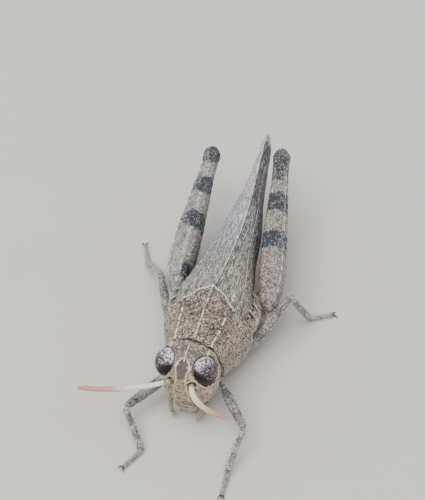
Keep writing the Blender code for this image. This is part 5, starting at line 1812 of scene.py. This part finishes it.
def make_stage(stage):
    """Plain floor, soft light and the camera."""
    bm = bmesh.new()
    bmesh.ops.create_circle(bm, cap_ends=True, segments=96, radius=FLOOR_RADIUS)
    mesh = bpy.data.meshes.new("floor")
    bm.to_mesh(mesh)
    bm.free()
    floor = bpy.data.objects.new("floor", mesh)
    bpy.context.scene.collection.objects.link(floor)
    mix = Recipe("floor")
    mesh.materials.append(mix.finish(mix.mix(mix.ramp(mix.noise(9.0, 4.0), 0.3, 0.7, 0.0, 0.5), stage.floor,
                                             [value * 0.97 for value in stage.floor]), 0.9))
    floor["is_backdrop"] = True

    world = bpy.data.worlds.new("sky")
    world.use_nodes = True
    background = world.node_tree.nodes["Background"]
    background.inputs["Color"].default_value = SKY_COLOUR
    background.inputs["Strength"].default_value = stage.sky
    bpy.context.scene.world = world

    lamp = bpy.data.lights.new("soft_lamp", "AREA")
    lamp.size = stage.lamp
    lamp.energy = stage.watts
    lamp.color = LAMP_COLOUR
    holder = bpy.data.objects.new("soft_lamp", lamp)
    holder.location = at(LAMP_PLACE)
    holder.rotation_euler = (at(AIM) - holder.location).to_track_quat("-Z", "Y").to_euler()
    bpy.context.scene.collection.objects.link(holder)

    camera = bpy.data.cameras.new("camera")
    camera.lens = stage.lens
    camera.sensor_width = SENSOR_WIDTH
    camera.clip_start, camera.clip_end = 0.005, 10
    turn = (Matrix.Rotation(stage.turn, 4, "Z") @ Matrix.Rotation(pi / 2 - stage.rise, 4, "X")
            @ Matrix.Rotation(stage.roll, 4, "Z"))
    eye = bpy.data.objects.new("camera", camera)
    eye.matrix_world = Matrix.Translation(at(AIM)) @ turn @ Matrix.Translation((0, 0, stage.distance))
    bpy.context.scene.collection.objects.link(eye)
    bpy.context.scene.camera = eye


# ---------------------------------------- add-on

def build(make, context):
    """Makes a group of pieces from the scene's own sizes and colours."""
    make(context.scene.grasshopper_sizes, context.scene.grasshopper_colours)
    return {"FINISHED"}


class GRASSHOPPER_OT_head(bpy.types.Operator):
    """Build the head capsule and its ocelli"""

    bl_idname = "grasshopper.head"
    bl_label = "Head"

    def execute(self, context):
        return build(make_head, context)


class GRASSHOPPER_OT_eyes(bpy.types.Operator):
    """Build the two faceted eyes"""

    bl_idname = "grasshopper.eyes"
    bl_label = "Eyes"

    def execute(self, context):
        return build(make_eyes, context)


class GRASSHOPPER_OT_mouth(bpy.types.Operator):
    """Build the upper lip, the jaws and the palps"""

    bl_idname = "grasshopper.mouth"
    bl_label = "Mouth"

    def execute(self, context):
        return build(make_mouth, context)


class GRASSHOPPER_OT_feelers(bpy.types.Operator):
    """Build the two ringed feelers"""

    bl_idname = "grasshopper.feelers"
    bl_label = "Feelers"

    def execute(self, context):
        return build(make_feelers, context)


class GRASSHOPPER_OT_pronotum(bpy.types.Operator):
    """Build the saddle behind the head and the neck skin"""

    bl_idname = "grasshopper.pronotum"
    bl_label = "Pronotum"

    def execute(self, context):
        return build(make_pronotum, context)


class GRASSHOPPER_OT_thorax(bpy.types.Operator):
    """Build the plates of the thorax"""

    bl_idname = "grasshopper.thorax"
    bl_label = "Thorax"

    def execute(self, context):
        return build(make_thorax, context)


class GRASSHOPPER_OT_abdomen(bpy.types.Operator):
    """Build the rings of the abdomen and the ovipositor"""

    bl_idname = "grasshopper.abdomen"
    bl_label = "Abdomen"

    def execute(self, context):
        return build(make_abdomen, context)


class GRASSHOPPER_OT_wings(bpy.types.Operator):
    """Build the wing covers and the folded hind wings"""

    bl_idname = "grasshopper.wings"
    bl_label = "Wings"

    def execute(self, context):
        return build(make_wings, context)


class GRASSHOPPER_OT_small_legs(bpy.types.Operator):
    """Build the fore and middle legs"""

    bl_idname = "grasshopper.small_legs"
    bl_label = "Fore and middle legs"

    def execute(self, context):
        return build(make_small_legs, context)


class GRASSHOPPER_OT_hind_legs(bpy.types.Operator):
    """Build the jumping legs"""

    bl_idname = "grasshopper.hind_legs"
    bl_label = "Hind legs"

    def execute(self, context):
        return build(make_hind_legs, context)


class GRASSHOPPER_OT_coats(bpy.types.Operator):
    """Grow the fine hairs on the finished skins"""

    bl_idname = "grasshopper.coats"
    bl_label = "Hairs"

    def execute(self, context):
        if not COAT_ROOTS:
            raise RuntimeError("the skins come before their hairs")
        return build(make_coats, context)


class GRASSHOPPER_OT_stage(bpy.types.Operator):
    """Set up the floor, the light and the camera"""

    bl_idname = "grasshopper.stage"
    bl_label = "Stage"

    def execute(self, context):
        make_stage(context.scene.grasshopper_stage)
        return {"FINISHED"}


OPERATORS = (
    GRASSHOPPER_OT_head, GRASSHOPPER_OT_eyes, GRASSHOPPER_OT_mouth, GRASSHOPPER_OT_feelers,
    GRASSHOPPER_OT_pronotum, GRASSHOPPER_OT_thorax, GRASSHOPPER_OT_abdomen, GRASSHOPPER_OT_wings,
    GRASSHOPPER_OT_small_legs, GRASSHOPPER_OT_hind_legs, GRASSHOPPER_OT_coats, GRASSHOPPER_OT_stage,
)


class GRASSHOPPER_PT_panel(bpy.types.Panel):
    """The grasshopper's pieces in the order in which they are built"""

    bl_idname = "GRASSHOPPER_PT_panel"
    bl_label = "Grasshopper"
    bl_space_type = "VIEW_3D"
    bl_region_type = "UI"
    bl_category = "Grasshopper"

    def draw(self, context):
        for operator in OPERATORS:
            self.layout.operator(operator.bl_idname)
        scene = context.scene
        for group in (scene.grasshopper_sizes, scene.grasshopper_colours, scene.grasshopper_stage):
            box = self.layout.box()
            for name in group.bl_rna.properties.keys():
                if name not in ("rna_type", "name"):
                    box.prop(group, name)


CLASSES = (GrasshopperSizes, GrasshopperColours, GrasshopperStage, *OPERATORS, GRASSHOPPER_PT_panel)


def register():
    for each in CLASSES:
        bpy.utils.register_class(each)
    bpy.types.Scene.grasshopper_sizes = bpy.props.PointerProperty(type=GrasshopperSizes)
    bpy.types.Scene.grasshopper_colours = bpy.props.PointerProperty(type=GrasshopperColours)
    bpy.types.Scene.grasshopper_stage = bpy.props.PointerProperty(type=GrasshopperStage)


def unregister():
    for name in ("grasshopper_sizes", "grasshopper_colours", "grasshopper_stage"):
        delattr(bpy.types.Scene, name)
    for each in reversed(CLASSES):
        bpy.utils.unregister_class(each)


def main():
    register()
    for operator in OPERATORS:
        group, name = operator.bl_idname.split(".")
        getattr(getattr(bpy.ops, group), name)()
    boxes = {"cad": CAD_BOX, "visual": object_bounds()}
    {name: [list(corner) for corner in box] for name, box in boxes.items()}


if __name__ == "__main__":
    main()
